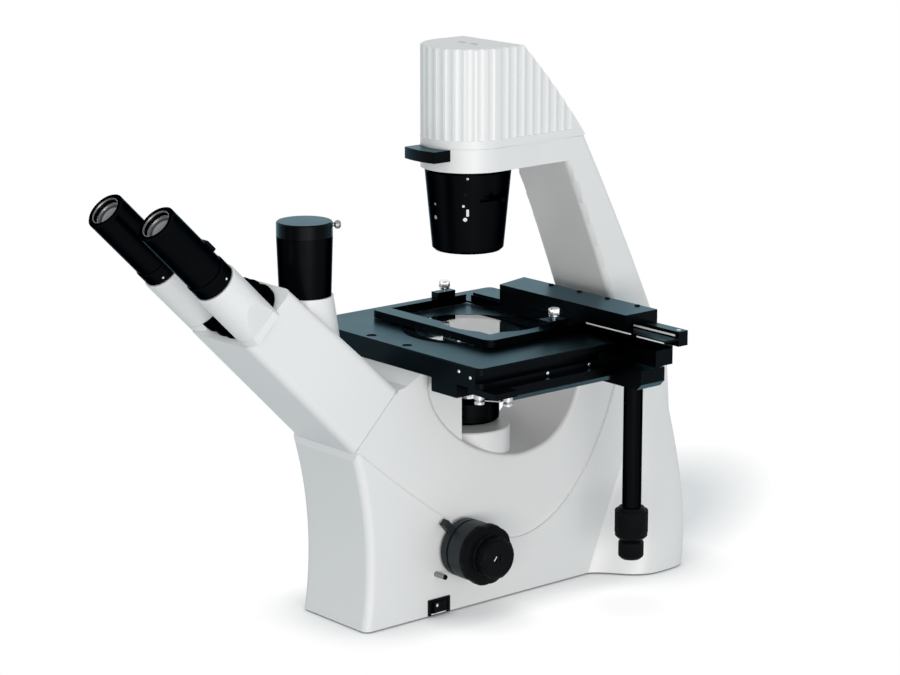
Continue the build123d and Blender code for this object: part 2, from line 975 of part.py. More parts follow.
# Binocular head on its 45 degree seat
def head_section(depth, along):
    """Plane across the tubes at one distance along them, half a depth above the head's lower face."""
    return Plane(origin=head_point(0, depth / 2, along), x_dir=(1, 0, 0), z_dir=tube_axis)


with BuildPart() as head_housing:
    with BuildSketch(head_section(head_depth, seat_along)):
        RectangleRounded(2 * head_half, head_depth, head_edge_radius)
    with BuildSketch(head_section(head_face_depth, face_along)):
        RectangleRounded(2 * head_face_half, head_face_depth, head_edge_radius)
    loft()
    with BuildSketch(head_section(2 * tube_rise, seat_along)):
        Rectangle(2 * prism_half, 2 * prism_half)
    extrude(amount=head_length - 12, mode=Mode.SUBTRACT)
    add(
        turned(pivot_plane, *ring_of(0, pivot_radius, face_along - 14, face_along + 1)),
        mode=Mode.SUBTRACT,
    )
    add(
        turned(upright(0, photo_y), *ring_of(0, photo_bore, splitter_z, photo_low_z)),
        mode=Mode.SUBTRACT,
    )
    for side in (1, -1):
        with BuildSketch(head_section(2 * tube_rise, face_along - 13)):
            with Locations((side * eye_port_x, 0)):
                Circle(eye_port_radius)
        extrude(amount=14, mode=Mode.SUBTRACT)

with BuildPart() as photo_cone:
    add(
        turned(
            upright(0, photo_y),
            (photo_bore, cone_low_z - 30),
            (cone_radius + 3, cone_low_z - 30),
            (cone_radius, cone_low_z),
            (photo_radius, photo_low_z),
            (photo_bore, photo_low_z),
        )
    )
    split(bisect_by=head_top, keep=Keep.TOP)

with BuildPart() as photo_tube:
    add(
        turned(
            upright(0, photo_y),
            (photo_bore, photo_low_z),
            (photo_low_radius, photo_low_z),
            (photo_radius, photo_seam_z),
            (neck_radius, photo_seam_z),
            (neck_radius, neck_top_z),
            (photo_mouth, neck_top_z),
            (photo_mouth, photo_low_z + 10),
            (photo_bore, photo_low_z + 8),
        )
    )

# Cap over the neck of the photo tube, held by a ball-headed screw
with BuildPart() as photo_cap:
    add(
        turned(
            upright(0, photo_y),
            (0, neck_top_z + slide_gap),
            (0, photo_top_z),
            (photo_radius - 1, photo_top_z),
            (photo_radius, photo_top_z - 1),
            (photo_radius, photo_seam_z + slide_gap),
            (neck_radius + slide_gap, photo_seam_z + slide_gap),
            (neck_radius + slide_gap, neck_top_z + slide_gap),
        )
    )
    with BuildSketch(lock_plane.offset(photo_radius - lock_reach)):
        Circle(lock_radius + run_fit)
    extrude(amount=lock_reach + 1, mode=Mode.SUBTRACT)

with BuildPart() as lock_screw:
    add(
        turned(
            turning_plane(lock_plane.origin, lock_plane.z_dir, (0, 0, 1)),
            (0, photo_radius - lock_reach + slide_gap),
            (lock_radius, photo_radius - lock_reach + slide_gap),
            (lock_radius, photo_radius + 1),
            (2 * lock_radius, photo_radius + 2.4),
            (2 * lock_radius, photo_radius + 5),
            (lock_radius, photo_radius + 6.4),
            (0, photo_radius + 6.4),
        )
    )

with BuildPart() as pivot_screw:
    add(
        turned(
            pivot_plane,
            (0, face_along - 14),
            (pivot_radius, face_along - 14),
            (pivot_radius, plate_high + swing_plate_thick + slide_gap),
            (pivot_radius + 3, plate_high + swing_plate_thick + slide_gap),
            (pivot_radius + 3, plate_high + swing_plate_thick + 2),
            (0, plate_high + swing_plate_thick + 2),
        )
    )


def lug_outline(side):
    """Corners of the web between the pivot disc and the lug under one tube."""
    return (
        (0, swing_disc_radius - lug_neck),
        (side * eye_half_distance, tube_drop + lug_radius),
        (side * eye_half_distance, tube_drop - lug_radius),
        (0, lug_neck - swing_disc_radius),
    )


def swing_plate(side, low, riser):
    """Disc round the head's pivot with a lug under one tube and a riser up to the tube."""
    with BuildPart() as body:
        with BuildSketch(head_section(2 * pivot_rise, low)):
            Circle(swing_disc_radius)
            with Locations((side * disc_shift, 0)):
                Circle(swing_disc_radius)
            with Locations((side * eye_half_distance, tube_drop)):
                Circle(lug_radius)
            with BuildLine():
                Polyline(*lug_outline(side), close=True)
            make_face()
            Circle(pivot_radius + run_fit, mode=Mode.SUBTRACT)
            with Locations((side * eye_half_distance, tube_drop)):
                Circle(eye_bore, mode=Mode.SUBTRACT)
        extrude(amount=swing_plate_thick)
        with BuildSketch(head_section(2 * pivot_rise, low + swing_plate_thick)):
            with Locations((side * eye_half_distance, tube_drop)):
                Circle(lug_radius)
            Circle(swing_disc_radius + free_gap, mode=Mode.SUBTRACT)
            with Locations((side * eye_half_distance, tube_drop)):
                Circle(eye_bore, mode=Mode.SUBTRACT)
        extrude(amount=riser)
    return body.part


def prism_housing(side):
    """Tube of one eye with the slanted facet of its prism on the outer side."""
    with BuildPart() as body:
        add(
            turned(
                tube_plane(side * eye_half_distance),
                (eye_bore, tube_low),
                (housing_radius - 0.6, tube_low),
                (housing_radius, tube_low + 0.6),
                (housing_radius, tube_high - 1),
                (housing_radius - 1, tube_high),
                (stem_radius + run_fit, tube_high),
                (stem_radius + run_fit, tube_high - stem_depth - slide_gap),
                (eye_bore, tube_high - stem_depth - slide_gap),
            )
        )
        facet_lean = sqrt(0.5) * (facet_inset - housing_radius)
        facet_plane = Plane(
            origin=head_point(side * (eye_half_distance + facet_inset), tube_rise, tube_low),
            x_dir=tube_rise_dir,
            z_dir=Vector(side * facet_rise, 0, 0) + Vector(tube_axis) * facet_lean,
        )
        split(bisect_by=facet_plane, keep=Keep.BOTTOM)
        # Skirt down to the head round the lug, clear of both discs
        with BuildSketch(head_section(2 * pivot_rise, plate_low)):
            with Locations((side * eye_half_distance, tube_drop)):
                Circle(housing_radius)
                Circle(lug_radius + run_fit, mode=Mode.SUBTRACT)
            with Locations((side * (eye_half_distance + facet_inset + housing_radius), tube_drop)):
                Rectangle(2 * housing_radius, 4 * housing_radius, mode=Mode.SUBTRACT)
            with Locations((0, 0), (side * disc_shift, 0)):
                Circle(swing_disc_radius + free_gap, mode=Mode.SUBTRACT)
            with BuildLine():
                Polyline(*lug_outline(side), close=True)
            make_face(mode=Mode.SUBTRACT)
        extrude(amount=tube_low - plate_low)
    return body.part


with BuildPart() as right_swing_plate:
    add(swing_plate(1, plate_low, swing_plate_thick + 2 * slide_gap))
with BuildPart() as left_swing_plate:
    add(swing_plate(-1, plate_high, slide_gap))
with BuildPart() as right_prism_housing:
    add(prism_housing(1))
with BuildPart() as left_prism_housing:
    add(prism_housing(-1))


def diopter_ring(side):
    """Focusing collar of one eyepiece."""
    return turned(
        tube_plane(side * eye_half_distance),
        (stem_radius + run_fit, tube_high + slide_gap),
        (diopter_radius - 0.8, tube_high + slide_gap),
        (diopter_radius, tube_high + slide_gap + 0.8),
        (diopter_radius, tube_high + diopter_length - 0.8),
        (diopter_radius - 0.8, tube_high + diopter_length),
        (stem_radius + run_fit, tube_high + diopter_length),
    )


def eyepiece(side):
    """Eyepiece with its stem in the tube and a recess for the eye lens."""
    shoulder = tube_high + diopter_length + slide_gap
    end = face_along + eyepiece_end
    return turned(
        tube_plane(side * eye_half_distance),
        (stem_radius - 2, tube_high - stem_depth),
        (stem_radius, tube_high - stem_depth),
        (stem_radius, shoulder),
        (eyepiece_radius - 0.6, shoulder),
        (eyepiece_radius, shoulder + 0.6),
        (eyepiece_radius, end - 1.2),
        (eyepiece_radius - 1.2, end),
        (eye_lens_radius + 1.4, end),
        (eye_lens_radius + run_fit, end - 3),
        (eye_lens_radius + run_fit, end - 9),
        (stem_radius - 2, end - 9),
    )


with BuildPart() as right_diopter_ring:
    add(diopter_ring(1))
with BuildPart() as left_diopter_ring:
    add(diopter_ring(-1))
with BuildPart() as right_eyepiece:
    add(eyepiece(1))
with BuildPart() as left_eyepiece:
    add(eyepiece(-1))
with BuildPart() as right_eye_lens:
    add(lens(tube_plane(eye_half_distance), eye_lens_radius, face_along + eyepiece_end - 9, 3, 2))
with BuildPart() as left_eye_lens:
    add(lens(tube_plane(-eye_half_distance), eye_lens_radius, face_along + eyepiece_end - 9, 3, 2))

# Stage plate with a glass insert in its round hole
with BuildPart() as stage_plate:
    with BuildSketch(Plane.XY.offset(stage_seat_z)):
        with Locations((0, (stage_front_y + stage_rear_y) / 2)):
            RectangleRounded(2 * stage_half, stage_rear_y - stage_front_y, stage_corner)
        Circle(stage_hole, mode=Mode.SUBTRACT)
    extrude(amount=stage_top_z - stage_seat_z)
    chamfer(faces().sort_by(Axis.Z)[-1].outer_wire().edges(), length=0.8)
    add(
        turned(upright(0, 0), *ring_of(0, insert_radius, stage_top_z - insert_thick, stage_top_z + 1)),
        mode=Mode.SUBTRACT,
    )
    add(
        block(
            stage_half - groove_depth,
            stage_half + 1,
            stage_front_y - 1,
            stage_rear_y + 1,
            groove_low_z,
            groove_high_z,
        ),
        mode=Mode.SUBTRACT,
    )
    with Locations(*[(x, y, stage_top_z) for x, y in screw_places]):
        CounterBoreHole(screw_radius, screw_head_radius, screw_sink, stage_top_z - stage_seat_z)

with BuildPart() as stage_insert:
    add(
        turned(
            upright(0, 0),
            *ring_of(0, insert_radius - slide_gap, stage_top_z - insert_thick, stage_top_z - 0.2),
        )
    )

with BuildPart() as stage_screws:
    for x, y in screw_places:
        add(
            turned(
                upright(x, y),
                (0, stage_seat_z),
                (screw_radius - run_fit, stage_seat_z),
                (screw_radius - run_fit, stage_top_z - screw_sink),
                (screw_head_radius - run_fit, stage_top_z - screw_sink),
                (screw_head_radius - run_fit, stage_top_z - 0.8),
                (0, stage_top_z - 0.8),
            )
        )

with BuildPart() as stage_rails:
    add(block(rail_inner_x, rail_outer_x, rail_front_y, rail_rear_y, rail_low_z, stage_seat_z))
    chamfer(edges().filter_by(Axis.Y).group_by(Axis.Z)[0], length=rail_chamfer)
    add(
        block(
            rail_inner_x + 6,
            pulley_bracket_x,
            stage_front_y + 1,
            rail_front_y,
            pulley_top_z,
            stage_seat_z,
        )
    )
    add(
        block(
            front_block_left_x,
            front_block_right_x,
            stage_front_y + free_gap,
            rail_front_y + 8,
            rail_low_z + 1,
            stage_seat_z,
        )
    )

with BuildPart() as knob_bracket:
    add(block(rail_inner_x, bracket_outer_x, rail_rear_y, bracket_rear_y, bracket_low_z, stage_seat_z))
    chamfer(edges().filter_by(Axis.Y).group_by(Axis.Z)[0], length=rail_chamfer)
    add(
        turned(upright(post_x, post_y), *ring_of(0, post_bore, bracket_low_z - 1, drum_top_z)),
        mode=Mode.SUBTRACT,
    )

with BuildPart() as knob_post:
    add(turned(upright(post_x, post_y), *ring_of(post_bore, post_radius, post_low_z, bracket_low_z)))

with BuildPart() as y_knob:
    add(
        turned(
            upright(post_x, post_y),
            (x_shaft_radius + run_fit, y_knob_low_z),
            (y_knob_radius - 2, y_knob_low_z),
            (y_knob_radius, y_knob_low_z + 2),
            (y_knob_radius, post_low_z - free_gap - 5),
            (y_knob_radius - 3, post_low_z - free_gap),
            (post_bore - slide_gap, post_low_z - free_gap),
            (post_bore - slide_gap, drum_top_z - 5),
            (x_shaft_radius + run_fit, drum_top_z - 5),
        )
    )

with BuildPart() as x_knob:
    add(
        turned(
            upright(post_x, post_y),
            (0, x_knob_low_z),
            (x_knob_radius - 2, x_knob_low_z),
            (x_knob_radius, x_knob_low_z + 2),
            (x_knob_radius, x_knob_top_z - 2),
            (x_knob_radius - 2, x_knob_top_z),
            (x_shaft_radius, x_knob_top_z),
            (x_shaft_radius, drum_top_z - 4.5),
            (post_bore - slide_gap, drum_top_z - 4.5),
            (post_bore - slide_gap, drum_top_z - slide_gap),
            (0, drum_top_z - slide_gap),
        )
    )

# Wire drive at the front corner
with BuildPart() as wire_drive:
    for x, y in pulley_places:
        add(
            turned(
                upright(x, y),
                (0, pulley_low_z),
                (pulley_radius, pulley_low_z),
                (pulley_radius, wire_z - 1),
                (pulley_radius - 1, wire_z),
                (pulley_radius, wire_z + 1),
                (pulley_radius, pulley_top_z),
                (0, pulley_top_z),
            )
        )
    (start_x, start_y), (end_x, end_y) = pulley_places
    span = Vector(end_x - start_x, end_y - start_y, 0)
    reach = span.normalized() * (pulley_radius + slide_gap)
    start = Vector(start_x, start_y, wire_z) + reach
    with BuildSketch(Plane(origin=start, z_dir=span)):
        Circle(wire_radius)
    extrude(amount=span.length - 2 * reach.length)

# Carriage that runs front to back along the plate's right edge and bridges the stage
with BuildPart() as y_carriage:
    add(block(stage_half + slide_gap, foot_right_x, beam_front_y, foot_rear_y, foot_low_z, foot_top_z))
    add(
        block(
            stage_half - groove_depth + free_gap,
            stage_half + 2,
            tongue_front_y,
            beam_rear_y,
            groove_low_z + slide_gap,
            groove_high_z - slide_gap,
        )
    )
    add(block(stage_half + slide_gap, cheek_right_x, beam_front_y, beam_rear_y, foot_low_z, beam_top_z))
    with BuildSketch(Plane.XY.offset(stage_top_z + beam_lift)):
        with BuildLine():
            Polyline(
                (beam_left_x, beam_rear_y),
                (beam_left_x + beam_bevel, beam_front_y),
                (cheek_right_x, beam_front_y),
                (cheek_right_x, beam_rear_y),
                close=True,
            )
        make_face()
    extrude(amount=beam_top_z - stage_top_z - beam_lift)
    # Channel of the cross slide, open below the front lip
    add(
        block(
            beam_left_x - 1,
            foot_right_x,
            beam_front_y + lip_thick,
            bar_rear_y + slide_gap,
            bar_low_z - slide_gap,
            bar_top_z + slide_gap,
        ),
        mode=Mode.SUBTRACT,
    )
    add(
        block(beam_left_x - 1, foot_right_x + 1, beam_front_y - 1, bar_front_y, foot_top_z - 2, lip_low_z),
        mode=Mode.SUBTRACT,
    )
    add(
        block(beam_left_x - 1, stage_half, beam_front_y - 1, bar_front_y, stage_top_z, lip_low_z),
        mode=Mode.SUBTRACT,
    )

with BuildPart() as x_bar:
    add(block(bar_left_x, bar_right_x, bar_front_y, bar_rear_y, bar_low_z, bar_top_z))
    add(
        block(
            holder_left_x + 14,
            bar_right_x,
            strip_front_y + strip_thick,
            bar_front_y,
            holder_top_z,
            lip_low_z - slide_gap,
        )
    )

with BuildPart() as rail_strip:
    add(
        block(
            strip_left_x,
            bar_right_x,
            strip_front_y,
            strip_front_y + strip_thick,
            holder_top_z - 2,
            lip_low_z - slide_gap,
        )
    )

with BuildPart() as vessel_holder:
    with BuildSketch(Plane.XY.offset(holder_low_z)):
        with BuildLine():
            Polyline(
                (holder_left_x, holder_front_y),
                (holder_right_x, holder_front_y),
                (holder_right_x, holder_rear_y),
                (holder_left_x, holder_rear_y),
                close=True,
            )
        make_face()
        fillet(vertices().group_by(Axis.Y)[0], radius=holder_corner)
    extrude(amount=holder_top_z - holder_low_z)
    add(
        block(
            well_left_x,
            well_right_x,
            well_front_y,
            well_front_y + well_width,
            holder_low_z + well_ledge_thick,
            holder_top_z + 1,
        ),
        mode=Mode.SUBTRACT,
    )
    add(
        block(
            well_left_x + well_ledge,
            well_right_x - well_ledge,
            well_front_y + well_ledge,
            well_front_y + well_width - well_ledge,
            holder_low_z - 1,
            holder_top_z,
        ),
        mode=Mode.SUBTRACT,
    )
    add(
        turned(upright(dish_x, dish_y), *ring_of(0, dish_radius, holder_low_z - 1, holder_top_z + 1)),
        mode=Mode.SUBTRACT,
    )
    with Locations((holder_left_x, holder_rear_y, holder_low_z)):
        Box(28, 2 * (holder_rear_y - beam_front_y + 2), 30, mode=Mode.SUBTRACT)
    for x, half in clamp_places:
        add(block(x - half, x + half, clamp_y - 11, clamp_y + 9, holder_top_z, clamp_top_z))
        add(
            turned(upright(x, clamp_y), *ring_of(0, thumb_stem + run_fit, holder_top_z, clamp_top_z + 1)),
            mode=Mode.SUBTRACT,
        )


def thumb_screw(x):
    """Thumb screw of one vessel clamp."""
    return turned(
        upright(x, clamp_y),
        (0, holder_top_z + slide_gap),
        (thumb_stem, holder_top_z + slide_gap),
        (thumb_stem, clamp_top_z + 1.5),
        (thumb_radius - 0.8, clamp_top_z + 1.5),
        (thumb_radius, clamp_top_z + 2.3),
        (thumb_radius, thumb_top_z - 0.8),
        (thumb_radius - 0.8, thumb_top_z),
        (0, thumb_top_z),
    )


with BuildPart() as left_clamp_screw:
    add(thumb_screw(clamp_places[0][0]))
with BuildPart() as right_clamp_screw:
    add(thumb_screw(clamp_places[1][0]))

# Nosepiece on its focusing carriage
with BuildPart() as nosepiece_carriage:
    add(
        turned(
            upright(0, 0),
            (light_path, carriage_low_z),
            (carriage_radius, carriage_low_z),
            (carriage_radius, carriage_top_z - 1),
            (carriage_radius - 1, carriage_top_z),
            (light_path, carriage_top_z),
        )
    )
    add(
        turned(upright(turret_x, turret_y), *ring_of(0, stud_radius, carriage_top_z - 2, turret_top_z - 2))
    )
    # Rack that the focus pinion drives
    add(
        block(
            rack_x - gear_width / 2,
            rack_x + gear_width / 2,
            rack_root_y,
            rack_root_y + rack_thick,
            rack_low_z,
            carriage_low_z + 1,
        )
    )
    with BuildSketch(Plane.YZ.offset(rack_x - gear_width / 2)):
        for k in range(-rack_count, rack_count):
            with BuildLine():
                Polyline(*rack_tooth(focus_z + (k + 0.5) * tooth_pitch), close=True)
            make_face()
    extrude(amount=gear_width)

with BuildPart() as turret:
    add(
        turned(
            upright(turret_x, turret_y),
            (stud_radius + run_fit, carriage_top_z + slide_gap),
            (turret_radius - 2, carriage_top_z + slide_gap),
            (turret_radius, carriage_top_z + slide_gap + 2),
            (turret_radius, turret_top_z - 5),
            (turret_radius - 3, turret_top_z),
            (stud_radius + run_fit, turret_top_z),
        )
    )
    for turn in objective_turns:
        add(
            turned(objective_axis(turn), *ring_of(0, objective_bore, carriage_top_z, turret_top_z + 1)),
            mode=Mode.SUBTRACT,
        )


def objective(turn, length):
    """One objective, standing on the turret: base ring, knurled collar, barrel and nose."""
    return turned(
        objective_axis(turn),
        (objective_bore - 2, turret_top_z),
        (objective_radius, turret_top_z),
        (objective_radius, turret_top_z + 7),
        (objective_radius - 0.7, turret_top_z + 7.7),
        (objective_radius - 0.7, turret_top_z + length - 12),
        (objective_radius - 3, turret_top_z + length - 5),
        (objective_radius - 4, turret_top_z + length),
        (objective_bore - 3.5, turret_top_z + length),
        (objective_bore - 2, turret_top_z + length - 3),
    )


with BuildPart() as objectives:
    for turn, length in zip(objective_turns, objective_lengths):
        add(objective(turn, length))

# Focus drive: pinion on a sleeve for the coarse knobs, with the fine shaft through it
with BuildPart() as pinion_sleeve:
    with BuildSketch(Plane.YZ.offset(rack_x - gear_width / 2)):
        with BuildLine():
            Polyline(*pinion_outline(), close=True)
        make_face()
    extrude(amount=gear_width)
    with BuildSketch(Plane.YZ.offset(-coarse_out)):
        with Locations((focus_y, focus_z)):
            Circle(sleeve_radius)
    extrude(amount=2 * coarse_out)
    with BuildSketch(Plane.YZ.offset(-coarse_out - 1)):
        with Locations((focus_y, focus_z)):
            Circle(fine_shaft_radius + run_fit)
    extrude(amount=2 * coarse_out + 2, mode=Mode.SUBTRACT)

with BuildPart() as fine_shaft:
    with BuildSketch(Plane.YZ.offset(-fine_in - 4)):
        with Locations((focus_y, focus_z)):
            Circle(fine_shaft_radius)
    extrude(amount=2 * fine_in + 8)

with BuildPart() as shaft_bushes:
    for side in (1, -1):
        add(
            turned(
                crosswise(focus_y, focus_z, side),
                (sleeve_radius + run_fit, pocket_half - 2),
                (bush_radius, pocket_half - 2),
                (bush_radius, tension_out + slide_gap),
                (sleeve_radius + run_fit, tension_out + slide_gap),
            )
        )
        add(
            turned(
                crosswise(focus_y, focus_z, side),
                *ring_of(sleeve_radius + run_fit, collar_radius, body_half, body_half + collar_length),
            )
        )
    # On the left a plain collar stands where the right side has the tension ring
    add(
        turned(
            crosswise(focus_y, focus_z, -1),
            *ring_of(sleeve_radius + run_fit, tension_radius, body_half + collar_length, tension_out),
        )
    )


def coarse_knob(side):
    """Coarse knob on the sleeve, hollow behind the fine knob."""
    return turned(
        crosswise(focus_y, focus_z, side),
        (sleeve_radius, coarse_in),
        (coarse_radius - 1.5, coarse_in),
        (coarse_radius, coarse_in + 1.5),
        (coarse_radius, coarse_out - 3),
        (coarse_radius - 3, coarse_out),
        (sleeve_radius, coarse_out),
    )


def fine_knob(side):
    """Fine knob on the end of the inner shaft."""
    return turned(
        crosswise(focus_y, focus_z, side),
        (fine_shaft_radius, fine_in),
        (fine_radius - 1, fine_in),
        (fine_radius, fine_in + 1),
        (fine_radius, fine_in + fine_length - 2),
        (fine_radius - 2, fine_in + fine_length),
        (0, fine_in + fine_length),
        (0, fine_in + 4),
        (fine_shaft_radius, fine_in + 4),
    )


with BuildPart() as coarse_knobs:
    add(coarse_knob(1))
    add(coarse_knob(-1))
with BuildPart() as fine_knobs:
    add(fine_knob(1))
    add(fine_knob(-1))

with BuildPart() as tension_ring:
    with BuildSketch(Plane.YZ.offset(tension_in)):
        with Locations((focus_y, focus_z)):
            Circle(tension_radius)
            with PolarLocations(tension_radius + lever_reach / 2 - 2, 1, start_angle=lever_angle):
                Rectangle(lever_reach + 4, 6)
            Circle(bush_radius + run_fit, mode=Mode.SUBTRACT)
    extrude(amount=tension_thick)

# Light path below the bay
with BuildPart() as mirror_mounts:
    add(
        prism(
            mirror_half,
            (-mirror_half, path_height - mirror_half - mirror_drop),
            (mirror_half, path_height + mirror_half - mirror_drop),
            (mirror_half, foot_height + base_thick),
            (-mirror_half, foot_height + base_thick),
        )
    )
    add(
        prism(
            mirror_half,
            (front_mirror_y + mirror_half, path_height - mirror_half * lean - front_drop),
            (front_mirror_y + mirror_half, path_height - mirror_half * lean - 2 * front_drop),
            (front_mirror_y - mirror_half, path_height + mirror_half * lean - 2 * front_drop),
            (front_mirror_y - mirror_half, foot_height + base_thick),
            (front_mirror_y - mirror_half - mirror_post, foot_height + base_thick),
            (front_mirror_y - mirror_half - mirror_post, path_height + mirror_half * lean - front_drop),
            (front_mirror_y - mirror_half, path_height + mirror_half * lean - front_drop),
        )
    )

# Beam splitter of the head, tube lens and the two mirrors that fold the light path
with BuildPart() as relay_optics:
    with BuildSketch(head_section(2 * tube_rise, splitter_along - prism_half)):
        Rectangle(2 * prism_half, 2 * prism_half)
    extrude(amount=2 * prism_half)
    add(lens(tube_plane(0), head_bore - run_fit, seat_along - 12, 3, 4))
    add(
        prism(
            mirror_half,
            (-mirror_half, path_height - mirror_half - mirror_drop),
            (-mirror_half, path_height - mirror_half),
            (mirror_half, path_height + mirror_half),
            (mirror_half, path_height + mirror_half - mirror_drop),
        )
    )
    add(
        prism(
            mirror_half,
            (front_mirror_y - mirror_half, path_height + mirror_half * lean - front_drop),
            (front_mirror_y - mirror_half, path_height + mirror_half * lean),
            (front_mirror_y + mirror_half, path_height - mirror_half * lean),
            (front_mirror_y + mirror_half, path_height - mirror_half * lean - front_drop),
        )
    )

with BuildPart() as light_path_rod:
    add(
        turned(
            crosswise(rod_y, rod_z),
            (0, mirror_half + 8),
            (rod_radius + 2, mirror_half + 8),
            (rod_radius + 2, mirror_half + 11),
            (rod_radius, mirror_half + 11),
            (rod_radius, body_half + rod_out - 1),
            (rod_radius - 0.8, body_half + rod_out),
            (0, body_half + rod_out),
        )
    )

# Electrics
with BuildPart() as switch_bezel:
    add(block(body_half, body_half + switch_plate, *switch_span(switch_length, switch_height)))
    add(
        block(body_half - 6, body_half, *switch_span(rocker_length + 2, rocker_height + 2)),
    )
    add(
        block(body_half - 7, body_half + 3, *switch_span(rocker_length + free_gap, rocker_height + free_gap)),
        mode=Mode.SUBTRACT,
    )

with BuildPart() as rocker:
    with BuildSketch(Plane.XY.offset(switch_z - rocker_height / 2)):
        with BuildLine():
            Polyline(
                (body_half - 4, switch_y - rocker_length / 2 + 1),
                (body_half + switch_plate + 2.6, switch_y - rocker_length / 2 + 1),
                (body_half + switch_plate + 0.9, switch_y),
                (body_half + switch_plate + 0.4, switch_y + rocker_length / 2 - 1),
                (body_half - 4, switch_y + rocker_length / 2 - 1),
                close=True,
            )
        make_face()
    extrude(amount=rocker_height)

with BuildPart() as power_inlet:
    add(
        block(
            -inlet_width / 2,
            inlet_width / 2,
            pocket_rear_y - 14,
            inlet_face_y,
            inlet_z - inlet_height / 2,
            inlet_z + inlet_height / 2,
        )
    )
    add(
        block(
            -inlet_width / 2 + 3,
            inlet_width / 2 - 3,
            inlet_face_y - inlet_depth,
            inlet_face_y + 1,
            inlet_z - inlet_height / 2 + 3,
            inlet_z + inlet_height / 2 - 3,
        ),
        mode=Mode.SUBTRACT,
    )
    for x, z in ((-5, inlet_z - 2), (0, inlet_z + 2), (5, inlet_z - 2)):
        add(block(x - 1, x + 1, inlet_face_y - inlet_depth, inlet_face_y - 4, z - 2, z + 2))

with BuildPart() as power_board:
    add(block(-board_half, board_half, board_front_y, board_rear_y, board_z, board_z + board_thick))
    for x in (-board_half + 2 * board_stud, board_half - 2 * board_stud):
        for y in (board_front_y + 2 * board_stud, board_rear_y - 2 * board_stud):
            add(turned(upright(x, y), *ring_of(0, board_stud, foot_height + base_thick, board_z)))
    add(
        block(
            -board_half / 2,
            board_half / 2,
            board_front_y + 4 * board_stud,
            (board_front_y + board_rear_y) / 2,
            board_z + board_thick,
            board_z + board_thick + transformer_height,
        )
    )

with BuildPart() as brightness_dial:
    add(
        turned(
            crosswise(dial_y, dial_z, -1),
            (0, pocket_half - 6),
            (5, pocket_half - 6),
            (5, pocket_half - slide_gap),
            (3, pocket_half - slide_gap),
            (3, body_half + slide_gap),
            (dial_radius, body_half + slide_gap),
            (dial_radius, body_half + 8),
            (dial_radius - 1.5, body_half + 9.5),
            (0, body_half + 9.5),
        )
    )

nodes = {
    "stand_body": stand_body,
    "base_plate": base_plate,
    "rubber_feet": rubber_feet,
    "arm": arm,
    "lamp_house": lamp_house,
    "lamp_bracket": lamp_bracket,
    "lamp_bulb": lamp_bulb,
    "illuminator_lenses": illuminator_lenses,
    "condenser_barrel": condenser_barrel,
    "iris_ring": iris_ring,
    "filter_slider": filter_slider,
    "filter_glass": filter_glass,
    "head_housing": head_housing,
    "relay_optics": relay_optics,
    "mirror_mounts": mirror_mounts,
    "photo_cone": photo_cone,
    "photo_tube": photo_tube,
    "photo_cap": photo_cap,
    "lock_screw": lock_screw,
    "pivot_screw": pivot_screw,
    "right_swing_plate": right_swing_plate,
    "left_swing_plate": left_swing_plate,
    "right_prism_housing": right_prism_housing,
    "left_prism_housing": left_prism_housing,
    "right_diopter_ring": right_diopter_ring,
    "left_diopter_ring": left_diopter_ring,
    "right_eyepiece": right_eyepiece,
    "left_eyepiece": left_eyepiece,
    "right_eye_lens": right_eye_lens,
    "left_eye_lens": left_eye_lens,
    "stage_plate": stage_plate,
    "stage_insert": stage_insert,
    "stage_screws": stage_screws,
    "stage_rails": stage_rails,
    "knob_bracket": knob_bracket,
    "knob_post": knob_post,
    "y_knob": y_knob,
    "x_knob": x_knob,
    "wire_drive": wire_drive,
    "y_carriage": y_carriage,
    "x_bar": x_bar,
    "rail_strip": rail_strip,
    "vessel_holder": vessel_holder,
    "left_clamp_screw": left_clamp_screw,
    "right_clamp_screw": right_clamp_screw,
    "nosepiece_carriage": nosepiece_carriage,
    "turret": turret,
    "objectives": objectives,
    "pinion_sleeve": pinion_sleeve,
    "coarse_knobs": coarse_knobs,
    "fine_shaft": fine_shaft,
    "fine_knobs": fine_knobs,
    "shaft_bushes": shaft_bushes,
    "tension_ring": tension_ring,
    "light_path_rod": light_path_rod,
    "switch_bezel": switch_bezel,
    "rocker": rocker,
    "power_inlet": power_inlet,
    "power_board": power_board,
    "brightness_dial": brightness_dial,
}
for name, builder in nodes.items():
    builder.part.label = name
    export_step(builder.part, f"parts/{name}.step")
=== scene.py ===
import json
from math import atan2, cos, hypot, pi, radians, sin, sqrt

import bmesh
import bpy
import numpy as np
from mathutils import Matrix, Vector


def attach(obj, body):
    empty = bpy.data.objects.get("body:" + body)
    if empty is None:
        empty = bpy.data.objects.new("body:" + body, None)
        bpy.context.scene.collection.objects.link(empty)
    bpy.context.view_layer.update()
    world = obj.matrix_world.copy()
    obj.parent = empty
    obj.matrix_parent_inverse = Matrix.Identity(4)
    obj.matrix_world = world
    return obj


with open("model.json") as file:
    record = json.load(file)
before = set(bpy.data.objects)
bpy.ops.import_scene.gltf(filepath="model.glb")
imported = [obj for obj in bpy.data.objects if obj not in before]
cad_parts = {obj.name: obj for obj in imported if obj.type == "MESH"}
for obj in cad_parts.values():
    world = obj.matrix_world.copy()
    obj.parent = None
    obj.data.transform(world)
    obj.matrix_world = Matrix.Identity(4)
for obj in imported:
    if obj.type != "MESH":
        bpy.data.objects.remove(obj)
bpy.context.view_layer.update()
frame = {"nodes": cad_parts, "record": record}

scene = bpy.context.scene
scene.view_settings.view_transform = "Standard"

# Camera at the photograph's place
AZIMUTH = radians(49.78)
ELEVATION = radians(13.37)
EYE = (1.7882, -1.5317, 0.7784)

